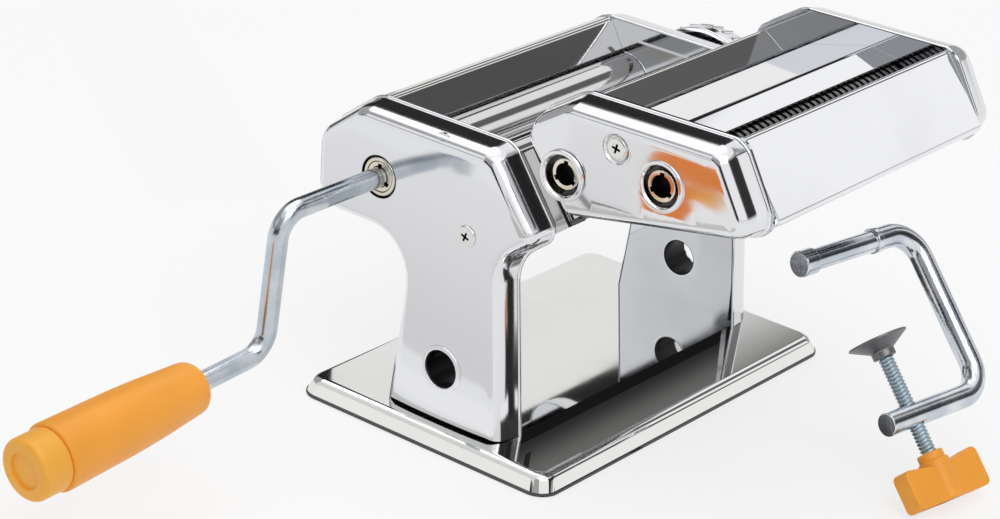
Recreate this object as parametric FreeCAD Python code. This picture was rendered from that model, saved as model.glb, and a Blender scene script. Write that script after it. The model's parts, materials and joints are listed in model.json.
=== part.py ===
"""Hand cranked pasta machine with a cutter attachment and a table clamp.

Millimetres, +Z up, the floor at z = 0 and the origin under the middle of the base.
+X runs from the crank side to the dial side, and -Y is the side of the cutter attachment.
"""
import FreeCAD, Part
import math
import os

# Working width and the pressed side covers
WORK_WIDTH = 150.0
COVER_DEPTH = 15.0
COVER_SHEET = 0.8
COVER_FOLD_RADIUS = 3.6
FRAME_SHEET = 1.2
FRAME_GAP = 0.4
SHEET_THICKNESS = 1.0

# Side outline of the housing, seen along X
HOUSING_TOP = 135.0
TOP_FRONT_Y = -20.6
TOP_FRONT_RADIUS = 6.0
PEAK_Y = 50.5
PEAK_RADIUS = 7.0
REAR_UPPER_Y = 74.3
REAR_UPPER_Z = 116.5
REAR_UPPER_RADIUS = 8.0
REAR_LOWER_Y = 74.0
REAR_LOWER_Z = 80.6
REAR_LOWER_RADIUS = 14.0
UNDER_REAR_Y = 24.5
UNDER_REAR_Z = 80.5
UNDER_REAR_RADIUS = 17.0
WAIST_REAR_Y = 24.8
WAIST_REAR_Z = 58.0
WAIST_REAR_RADIUS = 20.0
FOOT_REAR_Y = 30.3
FOOT_FRONT_Y = -34.5
WAIST_FRONT_Y = -26.9
WAIST_FRONT_Z = 86.6
WAIST_FRONT_RADIUS = 8.0
NOSE_RADIUS = 5.0
SLOPE_LENGTH = 42.2
SLOPE_ANGLE = 53.13

# Base tray and feet
BASE_LENGTH = 202.0
BASE_DEPTH = 134.0
BASE_TOP = 8.7
BASE_SHEET = 1.2
BASE_DRAFT = 3.3
BASE_CORNER_RADIUS = 15.0
BASE_BEVEL_RADIUS = 2.8
FOOT_PROUD = 1.0
RUBBER_RADIUS = 8.0
RUBBER_INSET_X = 18.0
RUBBER_INSET_Y = 17.0
FRAME_FOOT_REACH = 11.0
FRAME_FOOT_SCREW_OUT = 6.0
FRAME_FOOT_SCREW_SPAN = 36.0

# Screws
SCREW_RADIUS = 2.0
SCREW_HOLE_CLEARANCE = 0.1
SCREW_HEAD_RADIUS = 4.8
SCREW_HEAD_HEIGHT = 1.8
SCREW_DOME = 1.2
SMALL_HEAD_RADIUS = 3.5
NUT_HEIGHT = 2.4

# Holes in the housing covers
CLAMP_HOLE_Y = -1.9
CLAMP_HOLE_Z = 32.8
CLAMP_BORE_RADIUS = 8.2
CLAMP_SLEEVE_WALL = 0.8
CLAMP_LIP = 1.3
CLAMP_LIP_HEIGHT = 0.8
CRANK_HOLE_RADIUS = 9.3
COVER_SCREW_Y = -10.1
COVER_SCREW_Z = 94.8

# Sheet rollers
ROLLER_RADIUS = 14.0
ROLLER_AXIS_Z = 105.9
FIXED_AXIS_Y = 37.2
ROLLER_END_PLAY = 0.2
NARROWEST_GAP = 0.5
ECCENTRICITY = 1.3
DIAL_SWING = 150.0
RUNNING_FIT = 0.05
JOURNAL_RADIUS = 7.5
SLEEVE_RADIUS = 6.5
SLEEVE_PROUD = 0.2
DIAL_JOURNAL_RADIUS = 5.0
BUSH_WALL = 1.5
BUSH_LENGTH = 4.2
BUSH_FLANGE = 2.0
BUSH_FLANGE_THICKNESS = 1.2
SHAFT_RADIUS = 4.5
ECCENTRIC_RADIUS = 6.5
ROLLER_BUSH_WALL = 2.5
ROLLER_BUSH_LENGTH = 14.0
TUBE_WALL = 2.5
RETAINER_RADIUS = 7.0
RETAINER_THICKNESS = 1.2
CRANK_RING_RADIUS = 8.3

# Roller gears, cut with short thin teeth because the rollers move apart
ROLLER_GEAR_TEETH = 14
ROLLER_GEAR_MODULE = 2.0
ROLLER_GEAR_ADDENDUM = 1.8
ROLLER_GEAR_DEDENDUM = 1.6
ROLLER_GEAR_TIP_WIDTH = 1.0
ROLLER_GEAR_ROOT_WIDTH = 3.2
ROLLER_GEAR_WIDTH = 6.0
ROLLER_GEAR_GAP = 0.3
GEAR_HUB_RADIUS = 10.5

# Bearing plate that carries the outer end of the dial shaft
BEARING_PLATE_GAP = 10.0
SPACER_RADIUS = 3.0
UPPER_SPACER_Z = 127.8
LOWER_SPACER_Y = 4.0
LOWER_SPACER_Z = 81.5
PLATE_EDGE = 5.5

# Socket splines shared by the rollers and the crank
SOCKET_RADIUS = 4.6
SOCKET_DEPTH = 24.0
SPLINES = 3
SPLINE_RADIUS = 5.3
SPLINE_WIDTH = 1.5
SPLINE_CLEARANCE = 0.3

# Crank
CRANK_RADIUS = 4.25
CRANK_INSERTION = 21.0
CRANK_SPLINE_LENGTH = 12.0
CRANK_ELBOW_X = -149.0
CRANK_THROW = 61.7
CRANK_SWING = 5.4
CRANK_BEND_RADIUS = 11.0
HANDLE_SPLAY = 3.4
GRIP_START = 39.0
GRIP_BODY_LENGTH = 77.5
GRIP_NOSE_RADIUS = 10.8
GRIP_END_RADIUS = 14.3
GRIP_END_ROUND = 1.2
GRIP_SHOULDER = 34.0
GRIP_SHOULDER_RADIUS = 13.4
GRIP_SHOULDER_ROUND = 400.0
GRIP_NOSE_ROUND = 5.0
GRIP_CAP_RADIUS = 13.0
GRIP_CAP_LENGTH = 13.5
GRIP_CAP_ROUND = 2.5
GRIP_RECESS_RADIUS = 7.5
GRIP_RECESS_DEPTH = 1.5
RETAINER_NUT_RADIUS = 6.5
RETAINER_NUT_LENGTH = 4.0

# Dial
KNOB_RADIUS = 27.5
KNOB_SKIRT = 4.0
KNOB_WAIST_RADIUS = 24.0
KNOB_LENGTH = 16.5
KNOB_WALL = 2.2
KNOB_HUB_RADIUS = 10.5
KNOB_GAP = 0.5
INDEX_PLATE_RADIUS = 15.0
INDEX_PLATE_THICKNESS = 1.5
PIN_CIRCLE_RADIUS = 12.6
PIN_RADIUS = 1.6
PIN_LENGTH = 5.4
DIMPLE_DEPTH = 1.2
PIN_CLEARANCE = 0.3
DIAL_STATIONS = 7
SPRING_POCKET_RADIUS = 8.0
SPRING_POCKET_FLOOR = 6.0
SPRING_WIRE_RADIUS = 0.5
SPRING_COIL_RADIUS = 6.6
DIAL_WASHER_RADIUS = 7.6
DIAL_WASHER_THICKNESS = 1.2
FLAT_DEPTH = 0.8

# Tie rods between the side frames
ROD_RADIUS = 4.0
ROD_THREAD_DEPTH = 9.0
REAR_ROD_Y = 60.0
REAR_ROD_Z = 96.0
TOP_ROD_Y = 58.0
TOP_ROD_Z = 118.0

# Hopper sheets
REAR_SHEET_FOOT_Y = 39.6
REAR_SHEET_FOOT_Z = 120.9
REAR_SHEET_TOP_Y = 47.0
REAR_SHEET_TOP_Z = 133.6
FRONT_SHEET_FOOT_Y = -5.0
FRONT_SHEET_FOOT_Z = 119.8
SHEET_BEND_RADIUS = 1.5
SHEET_INSET = 1.5
SCRAPER_THICKNESS = 0.8
SCRAPER_GAP = 0.3
SCRAPER_RUN = 10.0
SCRAPER_FALL = 3.0
SCRAPER_LIP_RUN = 2.0
REAR_SCRAPER_LIP = 5.0
FRONT_SCRAPER_LIP = 3.0
GUIDE_THICKNESS = 1.5
GUIDE_HEIGHT = 4.5
GUIDE_FRONT_Y = 4.0
GUIDE_REAR_Y = 34.5

# Rails and hooks of the cutter attachment, on the slanted front
RAIL_HEIGHT = 7.8
RAIL_SHEET = 1.2
RAIL_LIP = 9.0
RAIL_ROOT = 10.0
RAIL_START = 2.5
RAIL_END = 37.0
RAIL_STOP_LENGTH = 2.0
HOOK_LENGTH = 29.0
HOOK_SHEET = 1.2
HOOK_CLEARANCE = 0.3
HOOK_OVERLAP = 6.4
HOOK_ROOT = 18.0

# Side outline of the cutter attachment, measured from the axis of the wide drive roller
CUTTER_FACE_X = 89.2
CUTTER_REAR_BOTTOM_Y = -0.4
CUTTER_REAR_BOTTOM_Z = -19.9
CUTTER_REAR_BOTTOM_RADIUS = 3.0
CUTTER_FRONT_BOTTOM_Y = -93.4
CUTTER_FRONT_BOTTOM_Z = -1.6
CUTTER_FRONT_BOTTOM_RADIUS = 8.0
CUTTER_FRONT_TOP_Y = -73.1
CUTTER_FRONT_TOP_Z = 33.5
CUTTER_FRONT_TOP_RADIUS = 7.0
CUTTER_PEAK_Y = 1.4
CUTTER_PEAK_Z = 31.7
CUTTER_PEAK_RADIUS = 8.0
CUTTER_REAR_Y = 27.4
CUTTER_REAR_Z = 14.7
CUTTER_REAR_RADIUS = 9.0
CUTTER_SCREW_Y = -23.8
CUTTER_SCREW_Z = 18.3

# Cutter rollers; the wide drive roller's axis is set from the foot of the slanted front
WIDE_AXIS_ALONG = 21.76
WIDE_AXIS_OUT = 26.92
CUTTER_PAIR_PITCH = 46.32
CUTTER_TILT = 11.5
CUTTER_SPACING = 20.0
DISC_RADIUS = 10.9
DISC_OVERLAP = 1.8
DISC_TIP_CLEARANCE = 0.2
DISC_SIDE_CLEARANCE = 0.15
WIDE_RIBBON = 6.5
NARROW_RIBBON = 2.0
WIDE_DISC_SIDES = 16
NARROW_DISC_SIDES = 12
CUTTER_END_PLAY = 0.4
CUTTER_JOURNAL_RADIUS = 4.0
CUTTER_SLEEVE_END_X = 89.4
CUTTER_BUSH_WALL = 1.5
COLLAR_OUTER_RADIUS = 10.5
COLLAR_INNER_RADIUS = 8.2
COLLAR_HEIGHT = 1.6
COLLAR_NECK_RADIUS = 9.2
COLLAR_NECK_LENGTH = 3.0
CUTTER_GEAR_TEETH = 16
CUTTER_GEAR_PITCH_RADIUS = 10.0
CUTTER_GEAR_ADDENDUM = 1.0
CUTTER_GEAR_DEDENDUM = 1.3
CUTTER_GEAR_TIP_WIDTH = 0.8
CUTTER_GEAR_ROOT_WIDTH = 2.4
CUTTER_GEAR_WIDTH = 6.0
CUTTER_GEAR_GAP = 1.6
CUTTER_ROD_RADIUS = 3.0
MIDDLE_ROD_Y = 12.2
MIDDLE_ROD_Z = -15.5
FRONT_ROD_Y = 9.8
FRONT_ROD_Z = 6.8
REAR_CUTTER_ROD_Y = 13.4
REAR_CUTTER_ROD_Z = 6.2
COMB_BAR = 3.0
COMB_DROP = 13.4
COMB_TIP_GAP = 0.4
COMB_FINGER_CLEARANCE = 0.4

# Sheets of the cutter attachment, each end measured from the roller or outline corner beside it
CUTTER_REAR_SHEET_TOP_Y = 19.4
CUTTER_REAR_SHEET_TOP_Z = 16.7
CUTTER_REAR_SHEET_FOOT_Y = 8.8
CUTTER_REAR_SHEET_FOOT_Z = 9.4
CUTTER_REAR_SHEET_LIP_Y = 3.0
CUTTER_REAR_SHEET_LIP_Z = 5.0
RIDGE_Y = 11.3
RIDGE_Z = 14.6
RIDGE_REAR_Y = -4.1
RIDGE_REAR_Z = 16.0
RIDGE_FRONT_Y = -1.7
RIDGE_FRONT_Z = 12.4
PANEL_TOP_Y = 2.9
PANEL_TOP_Z = -1.3
PANEL_FOOT_Y = 2.8
PANEL_FOOT_Z = 5.8
PANEL_INNER_Y = 3.9
PANEL_INNER_Z = 12.8
PANEL_LIP_Y = 4.0
PANEL_LIP_Z = 3.5

# Table clamp, which stands beside the machine on the edge of its wing knob
CLAMP_ROD_RADIUS = 5.0
CLAMP_TOP_ARM = 66.7
CLAMP_BACK_ARM = 73.6
CLAMP_LOW_ARM = 59.5
CLAMP_BEND_RADIUS = 13.0
CLAMP_NECK_RADIUS = 4.6
CLAMP_NECK_LENGTH = 43.0
CLAMP_COLLAR_RADIUS = 5.6
CLAMP_COLLAR_LENGTH = 7.5
CLAMP_SHOULDER_RADIUS = 5.5
CLAMP_SHOULDER_LENGTH = 3.0
CLAMP_SCREW_OFFSET = 44.1
CLAMP_SCREW_RADIUS = 3.3
CLAMP_SCREW_FIT = 0.08
CLAMP_HEADING = 9.7
CLAMP_LEAN = 42.9
CLAMP_STAND_X = 58.5
CLAMP_STAND_Y = -193.3
DISC_HEIGHT = 33.5
PRESSURE_DISC_RADIUS = 12.8
PRESSURE_DISC_DISH = 4.5
PRESSURE_DISC_SHEET = 1.0
DISC_SOCKET_RADIUS = 5.0
DISC_SOCKET_LENGTH = 4.0
DISC_PLAY = 0.3
WING_DROP = 37.5
WING_WIDTH = 43.0
WING_HEIGHT = 17.5
WING_THICKNESS = 9.0
WING_WAIST = 3.0
WING_CORNER_RADIUS = 2.5
WING_HUB_RADIUS = 6.6
WING_HUB_RISE = 3.5

# Places worked out from the sizes above
frame_x = WORK_WIDTH / 2
frame_out_x = frame_x + FRAME_SHEET
cover_x = frame_x + COVER_DEPTH
cover_in_x = cover_x - COVER_SHEET
cutter_cover_in_x = CUTTER_FACE_X - COVER_SHEET
cutter_flange_x = CUTTER_FACE_X - COVER_DEPTH
cutter_frame_x = cutter_flange_x - FRAME_SHEET
plate_x = -frame_out_x - BEARING_PLATE_GAP
plate_end_x = plate_x - FRAME_SHEET
slope_cos = math.cos(math.radians(SLOPE_ANGLE))
slope_sin = math.sin(math.radians(SLOPE_ANGLE))
nose_y = TOP_FRONT_Y - SLOPE_LENGTH * slope_cos
nose_z = HOUSING_TOP - SLOPE_LENGTH * slope_sin
first_station = (math.pi - math.radians(DIAL_SWING)) / 2
station_reach = ECCENTRICITY * math.cos(first_station)
station_rise = ECCENTRICITY * math.sin(first_station)
dial_y = FIXED_AXIS_Y - 2 * ROLLER_RADIUS - NARROWEST_GAP - station_reach
dial_z = ROLLER_AXIS_Z - (ECCENTRICITY + station_rise) / 2
moving_y = dial_y - station_reach
moving_z = dial_z + station_rise
tilt_cos = math.cos(math.radians(CUTTER_TILT))
tilt_sin = math.sin(math.radians(CUTTER_TILT))
hook_start = RAIL_START + RAIL_STOP_LENGTH + HOOK_CLEARANCE
wide_y = nose_y + WIDE_AXIS_ALONG * slope_cos - WIDE_AXIS_OUT * slope_sin
wide_z = nose_z + WIDE_AXIS_ALONG * slope_sin + WIDE_AXIS_OUT * slope_cos
narrow_y = wide_y - CUTTER_PAIR_PITCH * tilt_cos
narrow_z = wide_z + CUTTER_PAIR_PITCH * tilt_sin
cutter_screw_y = wide_y + CUTTER_SCREW_Y
cutter_screw_z = wide_z + CUTTER_SCREW_Z
front_bottom_y = wide_y + CUTTER_FRONT_BOTTOM_Y
front_bottom_z = wide_z + CUTTER_FRONT_BOTTOM_Z

parts = {}


def vec(x, y, z):
    """Point or direction."""
    return FreeCAD.Vector(x, y, z)


def along_x(y, z, x=0.0):
    """Place (y, z) in the plane at x."""
    return vec(x, y, z)


def slope_place(u, n):
    """(y, z) at u along the slanted front from the nose and n out from it."""
    return (nose_y + u * slope_cos - n * slope_sin, nose_z + u * slope_sin + n * slope_cos)


def cylinder(x0, x1, radius, y, z):
    """Solid cylinder along X."""
    return Part.makeCylinder(radius, x1 - x0, vec(x0, y, z), vec(1, 0, 0))


def tube(x0, x1, outer, inner, y, z):
    """Hollow cylinder along X."""
    return cylinder(x0, x1, outer, y, z).cut(cylinder(x0 - 1, x1 + 1, inner, y, z))


def block(x0, x1, y0, y1, z0, z1):
    """Box between two corners."""
    return Part.makeBox(x1 - x0, y1 - y0, z1 - z0, vec(x0, y0, z0))


def fuse_all(shapes):
    """One solid from several that touch."""
    result = shapes[0].multiFuse(shapes[1:])
    return result.removeSplitter()


def cut_all(shape, tools):
    """Shape less each of the tools."""
    return shape.cut(Part.makeCompound(tools))


def other_side(shape):
    """The same piece on the far side of the middle plane."""
    return shape.mirror(vec(0, 0, 0), vec(1, 0, 0))


def both_sides(shape):
    """The piece and its mirror image."""
    return [shape, other_side(shape)]


def group(name, shapes):
    """Several separate pieces of one kind under one name."""
    parts[name] = Part.makeCompound(shapes)


def arc_points(before, corner, after, radius):
    """Start, middle and end of the arc that rounds a corner."""
    to_before = (before - corner).normalize()
    to_after = (after - corner).normalize()
    half = to_before.getAngle(to_after) / 2
    run = radius / math.tan(half)
    middle_line = (to_before + to_after).normalize()
    centre = corner + middle_line * (radius / math.sin(half))
    return corner + to_before * run, centre - middle_line * radius, corner + to_after * run


def rounded_edges(points, radii, closed):
    """Lines and tangent arcs through points, each inner corner rounded by its radius."""
    edges = []
    count = len(points)
    marks = []
    for index in range(count):
        ends = not closed and index in (0, count - 1)
        if ends or radii[index] <= 0:
            marks.append((points[index], points[index]))
            continue
        start, middle, end = arc_points(points[index - 1], points[index], points[(index + 1) % count],
                                        radii[index])
        edges.append(Part.Arc(start, middle, end).toShape())
        marks.append((start, end))
    for index in range(count if closed else count - 1):
        start = marks[index][1]
        end = marks[(index + 1) % count][0]
        if start.distanceToPoint(end) > 1e-6:
            edges.append(Part.LineSegment(start, end).toShape())
    return edges


def outline_face(corners, x=0.0):
    """Flat face in the plane at x from (y, z, radius) corners."""
    points = [along_x(y, z, x) for y, z, radius in corners]
    edges = rounded_edges(points, [radius for y, z, radius in corners], True)
    return Part.Face(Part.Wire(Part.__sortEdges__(edges)))


def plate(corners, x0, x1):
    """Flat plate between x0 and x1 with the outline of the corners."""
    return outline_face(corners, x0).extrude(vec(x1 - x0, 0, 0))


def inset(corners, distance, open_side=None, open_distance=0.0):
    """The outline moved inwards; one side may move by its own distance."""
    count = len(corners)
    area = sum(corners[i - 1][0] * corners[i][1] - corners[i][0] * corners[i - 1][1] for i in range(count))
    turn = 1.0 if area > 0 else -1.0
    lines = []
    for index in range(count):
        y0, z0, radius = corners[index]
        y1, z1, radius = corners[(index + 1) % count]
        length = math.hypot(y1 - y0, z1 - z0)
        along = ((y1 - y0) / length, (z1 - z0) / length)
        inward = (-along[1] * turn, along[0] * turn)
        shift = open_distance if index == open_side else distance
        lines.append(((y0 + inward[0] * shift, z0 + inward[1] * shift), along))
    moved = []
    for index in range(count):
        (ay, az), (dy, dz) = lines[index - 1]
        (by, bz), (ey, ez) = lines[index]
        cross = dy * ez - dz * ey
        t = ((by - ay) * ez - (bz - az) * ey) / cross
        radius = corners[index][2]
        convex = cross * turn > 0
        if radius > 0:
            radius = max(radius - distance, 0.3) if convex else radius + distance
        moved.append((ay + dy * t, az + dz * t, radius))
    return moved


def face_edges(shape, x, floor_z=None):
    """Edges that lie in the plane at x, without the one along the open bottom."""
    found = []
    for edge in shape.Edges:
        box = edge.BoundBox
        flat = abs(box.XMin - x) < 1e-4 and abs(box.XMax - x) < 1e-4
        bottom = floor_z is not None and box.ZMax < floor_z + 1e-3
        if flat and not bottom:
            found.append(edge)
    return found


def pressed_cover(corners, x0, x1, open_side=None):
    """Deep pressed cover: face at x1, flange back to x0, with the given side left open."""
    floor_z = min(z for y, z, radius in corners) if open_side is not None else None
    outer = plate(corners, x0, x1)
    outer = outer.makeFillet(COVER_FOLD_RADIUS, face_edges(outer, x1, floor_z))
    hollow_corners = inset(corners, COVER_SHEET, open_side, -1.0)
    hollow = plate(hollow_corners, x0 - 1.0, x1 - COVER_SHEET)
    hollow_floor = floor_z - 1.0 if floor_z is not None else None
    edges = face_edges(hollow, x1 - COVER_SHEET, hollow_floor)
    hollow = hollow.makeFillet(COVER_FOLD_RADIUS - COVER_SHEET, edges)
    return outer.cut(hollow)


def bent_sheet(points, thickness, x0, x1, bend=None):
    """Sheet bent along (y, z) points on its middle line, with its bends rounded."""
    bend = SHEET_BEND_RADIUS if bend is None else bend
    half = thickness / 2
    sides = {1: [], -1: []}
    count = len(points)
    for side in (1, -1):
        for index in range(count):
            y, z = points[index]
            before = points[max(index - 1, 0)]
            after = points[min(index + 1, count - 1)]
            into = (y - before[0], z - before[1]) if index > 0 else (after[0] - y, after[1] - z)
            out = (after[0] - y, after[1] - z) if index < count - 1 else into
            into_length = math.hypot(*into)
            out_length = math.hypot(*out)
            into = (into[0] / into_length, into[1] / into_length)
            out = (out[0] / out_length, out[1] / out_length)
            normal = (-(into[1] + out[1]), into[0] + out[0])
            length = math.hypot(*normal)
            normal = (normal[0] / length, normal[1] / length)
            stretch = -normal[0] * into[1] + normal[1] * into[0]
            reach = side * half / stretch
            turn = into[0] * out[1] - into[1] * out[0]
            inner = turn * side > 0
            radius = 0.0
            if 0 < index < count - 1:
                radius = bend - half if inner else bend + half
            sides[side].append((y + normal[0] * reach, z + normal[1] * reach, max(radius, 0.0)))
    return plate(sides[1] + sides[-1][::-1], x0, x1)


def gear(teeth, pitch_radius, addendum, dedendum, tip_width, root_width, x0, x1, y, z, turn):
    """Spur gear blank along X with straight flanks; turn is the angle of its first tooth."""
    corners = []
    tip_radius = pitch_radius + addendum
    root_radius = pitch_radius - dedendum
    tip_half = tip_width / 2 / tip_radius
    root_half = root_width / 2 / root_radius
    for tooth in range(teeth):
        middle = math.radians(turn) + 2 * math.pi * tooth / teeth
        for radius, angle in ((root_radius, -root_half), (tip_radius, -tip_half),
                              (tip_radius, tip_half), (root_radius, root_half)):
            flank = middle + angle
            corners.append((y + radius * math.cos(flank), z + radius * math.sin(flank), 0))
    return plate(corners, x0, x1)


def polygon(sides, radius, x0, x1, y, z):
    """Many sided bar along X with its corners on the radius."""
    corners = []
    for side in range(sides):
        angle = 2 * math.pi * side / sides
        corners.append((y + radius * math.cos(angle), z + radius * math.sin(angle), 0))
    return plate(corners, x0, x1)


def splines(radius, width, x0, x1, y, z):
    """Ribs at equal angles round an axis along X, from the axis to the radius."""
    ribs = []
    for index in range(SPLINES):
        rib = block(x0, x1, -width / 2, width / 2, 0, radius)
        rib.rotate(vec(0, 0, 0), vec(1, 0, 0), 360.0 * index / SPLINES)
        rib.translate(vec(0, y, z))
        ribs.append(rib)
    return ribs


def crank_socket(x_mouth, y, z):
    """The hollow of a crank socket that opens towards -X at x_mouth."""
    notch_radius = SPLINE_RADIUS + SPLINE_CLEARANCE
    notch_width = SPLINE_WIDTH + 2 * SPLINE_CLEARANCE
    bore = cylinder(x_mouth - 1, x_mouth + SOCKET_DEPTH, SOCKET_RADIUS, y, z)
    notches = splines(notch_radius, notch_width, x_mouth - 1, x_mouth + SOCKET_DEPTH, y, z)
    return fuse_all([bore] + notches)


def bush(inner, wall, x_in, y, z):
    """Flanged bush in a side plate whose inner face is at x_in, on the +X side."""
    body = tube(x_in, x_in + BUSH_LENGTH, inner + wall, inner, y, z)
    flange_x = x_in + FRAME_SHEET
    flange = tube(flange_x, flange_x + BUSH_FLANGE_THICKNESS, inner + wall + BUSH_FLANGE, inner, y, z)
    return fuse_all([body, flange])


def screw(x_under_head, length, y, z, head_radius=SMALL_HEAD_RADIUS):
    """Flat headed screw along X, its head on the +X side of x_under_head."""
    head = cylinder(x_under_head, x_under_head + SCREW_HEAD_HEIGHT, head_radius, y, z)
    return fuse_all([head, cylinder(x_under_head - length, x_under_head, SCREW_RADIUS, y, z)])


def domed_screw(x_under_head, length, y, z):
    """Screw of a cover, with a rounded head on the +X side of x_under_head."""
    whole = screw(x_under_head, length, y, z, SCREW_HEAD_RADIUS)
    top = [edge for edge in whole.Edges if edge.BoundBox.XMin > x_under_head + SCREW_HEAD_HEIGHT - 1e-3]
    return whole.makeFillet(SCREW_DOME, top)


def screw_hole(x0, x1, y, z):
    """Clearance hole for a screw."""
    return cylinder(x0, x1, SCREW_RADIUS + SCREW_HOLE_CLEARANCE, y, z)


def tie_rod(half_length, radius, y, z):
    """Bar between two side plates with a threaded hole in each end."""
    rod = cylinder(-half_length, half_length, radius, y, z)
    hole = screw_hole(half_length - ROD_THREAD_DEPTH, half_length + 1, y, z)
    return cut_all(rod, both_sides(hole))


def housing_corners():
    """Side outline of the housing covers, from the front of the foot up and round."""
    return [
        (FOOT_REAR_Y, BASE_TOP, 0),
        (FOOT_FRONT_Y, BASE_TOP, 0),
        (WAIST_FRONT_Y, WAIST_FRONT_Z, WAIST_FRONT_RADIUS),
        (nose_y, nose_z, NOSE_RADIUS),
        (TOP_FRONT_Y, HOUSING_TOP, TOP_FRONT_RADIUS),
        (PEAK_Y, HOUSING_TOP, PEAK_RADIUS),
        (REAR_UPPER_Y, REAR_UPPER_Z, REAR_UPPER_RADIUS),
        (REAR_LOWER_Y, REAR_LOWER_Z, REAR_LOWER_RADIUS),
        (UNDER_REAR_Y, UNDER_REAR_Z, UNDER_REAR_RADIUS),
        (WAIST_REAR_Y, WAIST_REAR_Z, WAIST_REAR_RADIUS),
    ]


def cutter_corners():
    """Side outline of the cutter attachment covers."""
    outline = [
        (CUTTER_REAR_BOTTOM_Y, CUTTER_REAR_BOTTOM_Z, CUTTER_REAR_BOTTOM_RADIUS),
        (CUTTER_FRONT_BOTTOM_Y, CUTTER_FRONT_BOTTOM_Z, CUTTER_FRONT_BOTTOM_RADIUS),
        (CUTTER_FRONT_TOP_Y, CUTTER_FRONT_TOP_Z, CUTTER_FRONT_TOP_RADIUS),
        (CUTTER_PEAK_Y, CUTTER_PEAK_Z, CUTTER_PEAK_RADIUS),
        (CUTTER_REAR_Y, CUTTER_REAR_Z, CUTTER_REAR_RADIUS),
    ]
    return [(wide_y + y, wide_z + z, radius) for y, z, radius in outline]


def foot_screw_places():
    """(x, y) of the four screws that hold the frame feet to the base."""
    x = frame_out_x + FRAME_FOOT_SCREW_OUT
    middle = (FOOT_FRONT_Y + FOOT_REAR_Y) / 2
    half = FRAME_FOOT_SCREW_SPAN / 2
    return [(side * x, middle + end * half) for side in (-1, 1) for end in (-1, 1)]


def tray(length, depth, z0, z1, draft, corner_radius):
    """Block with rounded corners whose sides lean in by the draft."""
    wires = []
    for z, shrink in ((z0, 0.0), (z1, draft)):
        half_x = length / 2 - shrink
        half_y = depth / 2 - shrink
        points = [vec(-half_x, -half_y, z), vec(half_x, -half_y, z),
                  vec(half_x, half_y, z), vec(-half_x, half_y, z)]
        edges = rounded_edges(points, [corner_radius - shrink / 2] * 4, True)
        wires.append(Part.Wire(Part.__sortEdges__(edges)))
    return Part.makeLoft(wires, True, True)


def make_base():
    """Base tray, its rubber feet and the screws and nuts of the frame feet."""
    outer = tray(BASE_LENGTH, BASE_DEPTH, FOOT_PROUD, BASE_TOP, BASE_DRAFT, BASE_CORNER_RADIUS)
    rim = [edge for edge in outer.Edges if edge.BoundBox.ZMin > BASE_TOP - 1e-3]
    outer = outer.makeFillet(BASE_BEVEL_RADIUS, rim)
    hollow_top = BASE_TOP - BASE_SHEET
    hollow = tray(BASE_LENGTH - 2 * BASE_SHEET, BASE_DEPTH - 2 * BASE_SHEET, FOOT_PROUD - 1, hollow_top,
                  BASE_DRAFT, BASE_CORNER_RADIUS - BASE_SHEET)
    hollow_rim = [edge for edge in hollow.Edges if edge.BoundBox.ZMin > hollow_top - 1e-3]
    hollow = hollow.makeFillet(BASE_BEVEL_RADIUS - BASE_SHEET, hollow_rim)
    holes = []
    screws = []
    nuts = []
    head_z = BASE_TOP + FRAME_SHEET
    nut_top = BASE_TOP - BASE_SHEET
    for x, y in foot_screw_places():
        hole_radius = SCREW_RADIUS + SCREW_HOLE_CLEARANCE
        holes.append(Part.makeCylinder(hole_radius, 6, vec(x, y, BASE_TOP - 3)))
        head = Part.makeCylinder(SMALL_HEAD_RADIUS, SCREW_HEAD_HEIGHT, vec(x, y, head_z))
        shank_foot = nut_top - NUT_HEIGHT
        shank = Part.makeCylinder(SCREW_RADIUS, head_z - shank_foot, vec(x, y, shank_foot))
        screws.append(head.fuse(shank).removeSplitter())
        nut = Part.Face(Part.makePolygon([
            vec(x + SMALL_HEAD_RADIUS * math.cos(math.radians(60 * corner)),
                y + SMALL_HEAD_RADIUS * math.sin(math.radians(60 * corner)), shank_foot)
            for corner in range(7)])).extrude(vec(0, 0, NUT_HEIGHT))
        nuts.append(nut.cut(Part.makeCylinder(hole_radius, NUT_HEIGHT + 2, vec(x, y, shank_foot - 1))))
    parts["base_plate"] = cut_all(outer.cut(hollow), holes)
    group("base_screws", screws + nuts)
    feet = []
    for side in (-1, 1):
        for end in (-1, 1):
            x = side * (BASE_LENGTH / 2 - RUBBER_INSET_X)
            y = end * (BASE_DEPTH / 2 - RUBBER_INSET_Y)
            feet.append(Part.makeCylinder(RUBBER_RADIUS, nut_top, vec(x, y, 0)))
    group("rubber_feet", feet)


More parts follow.
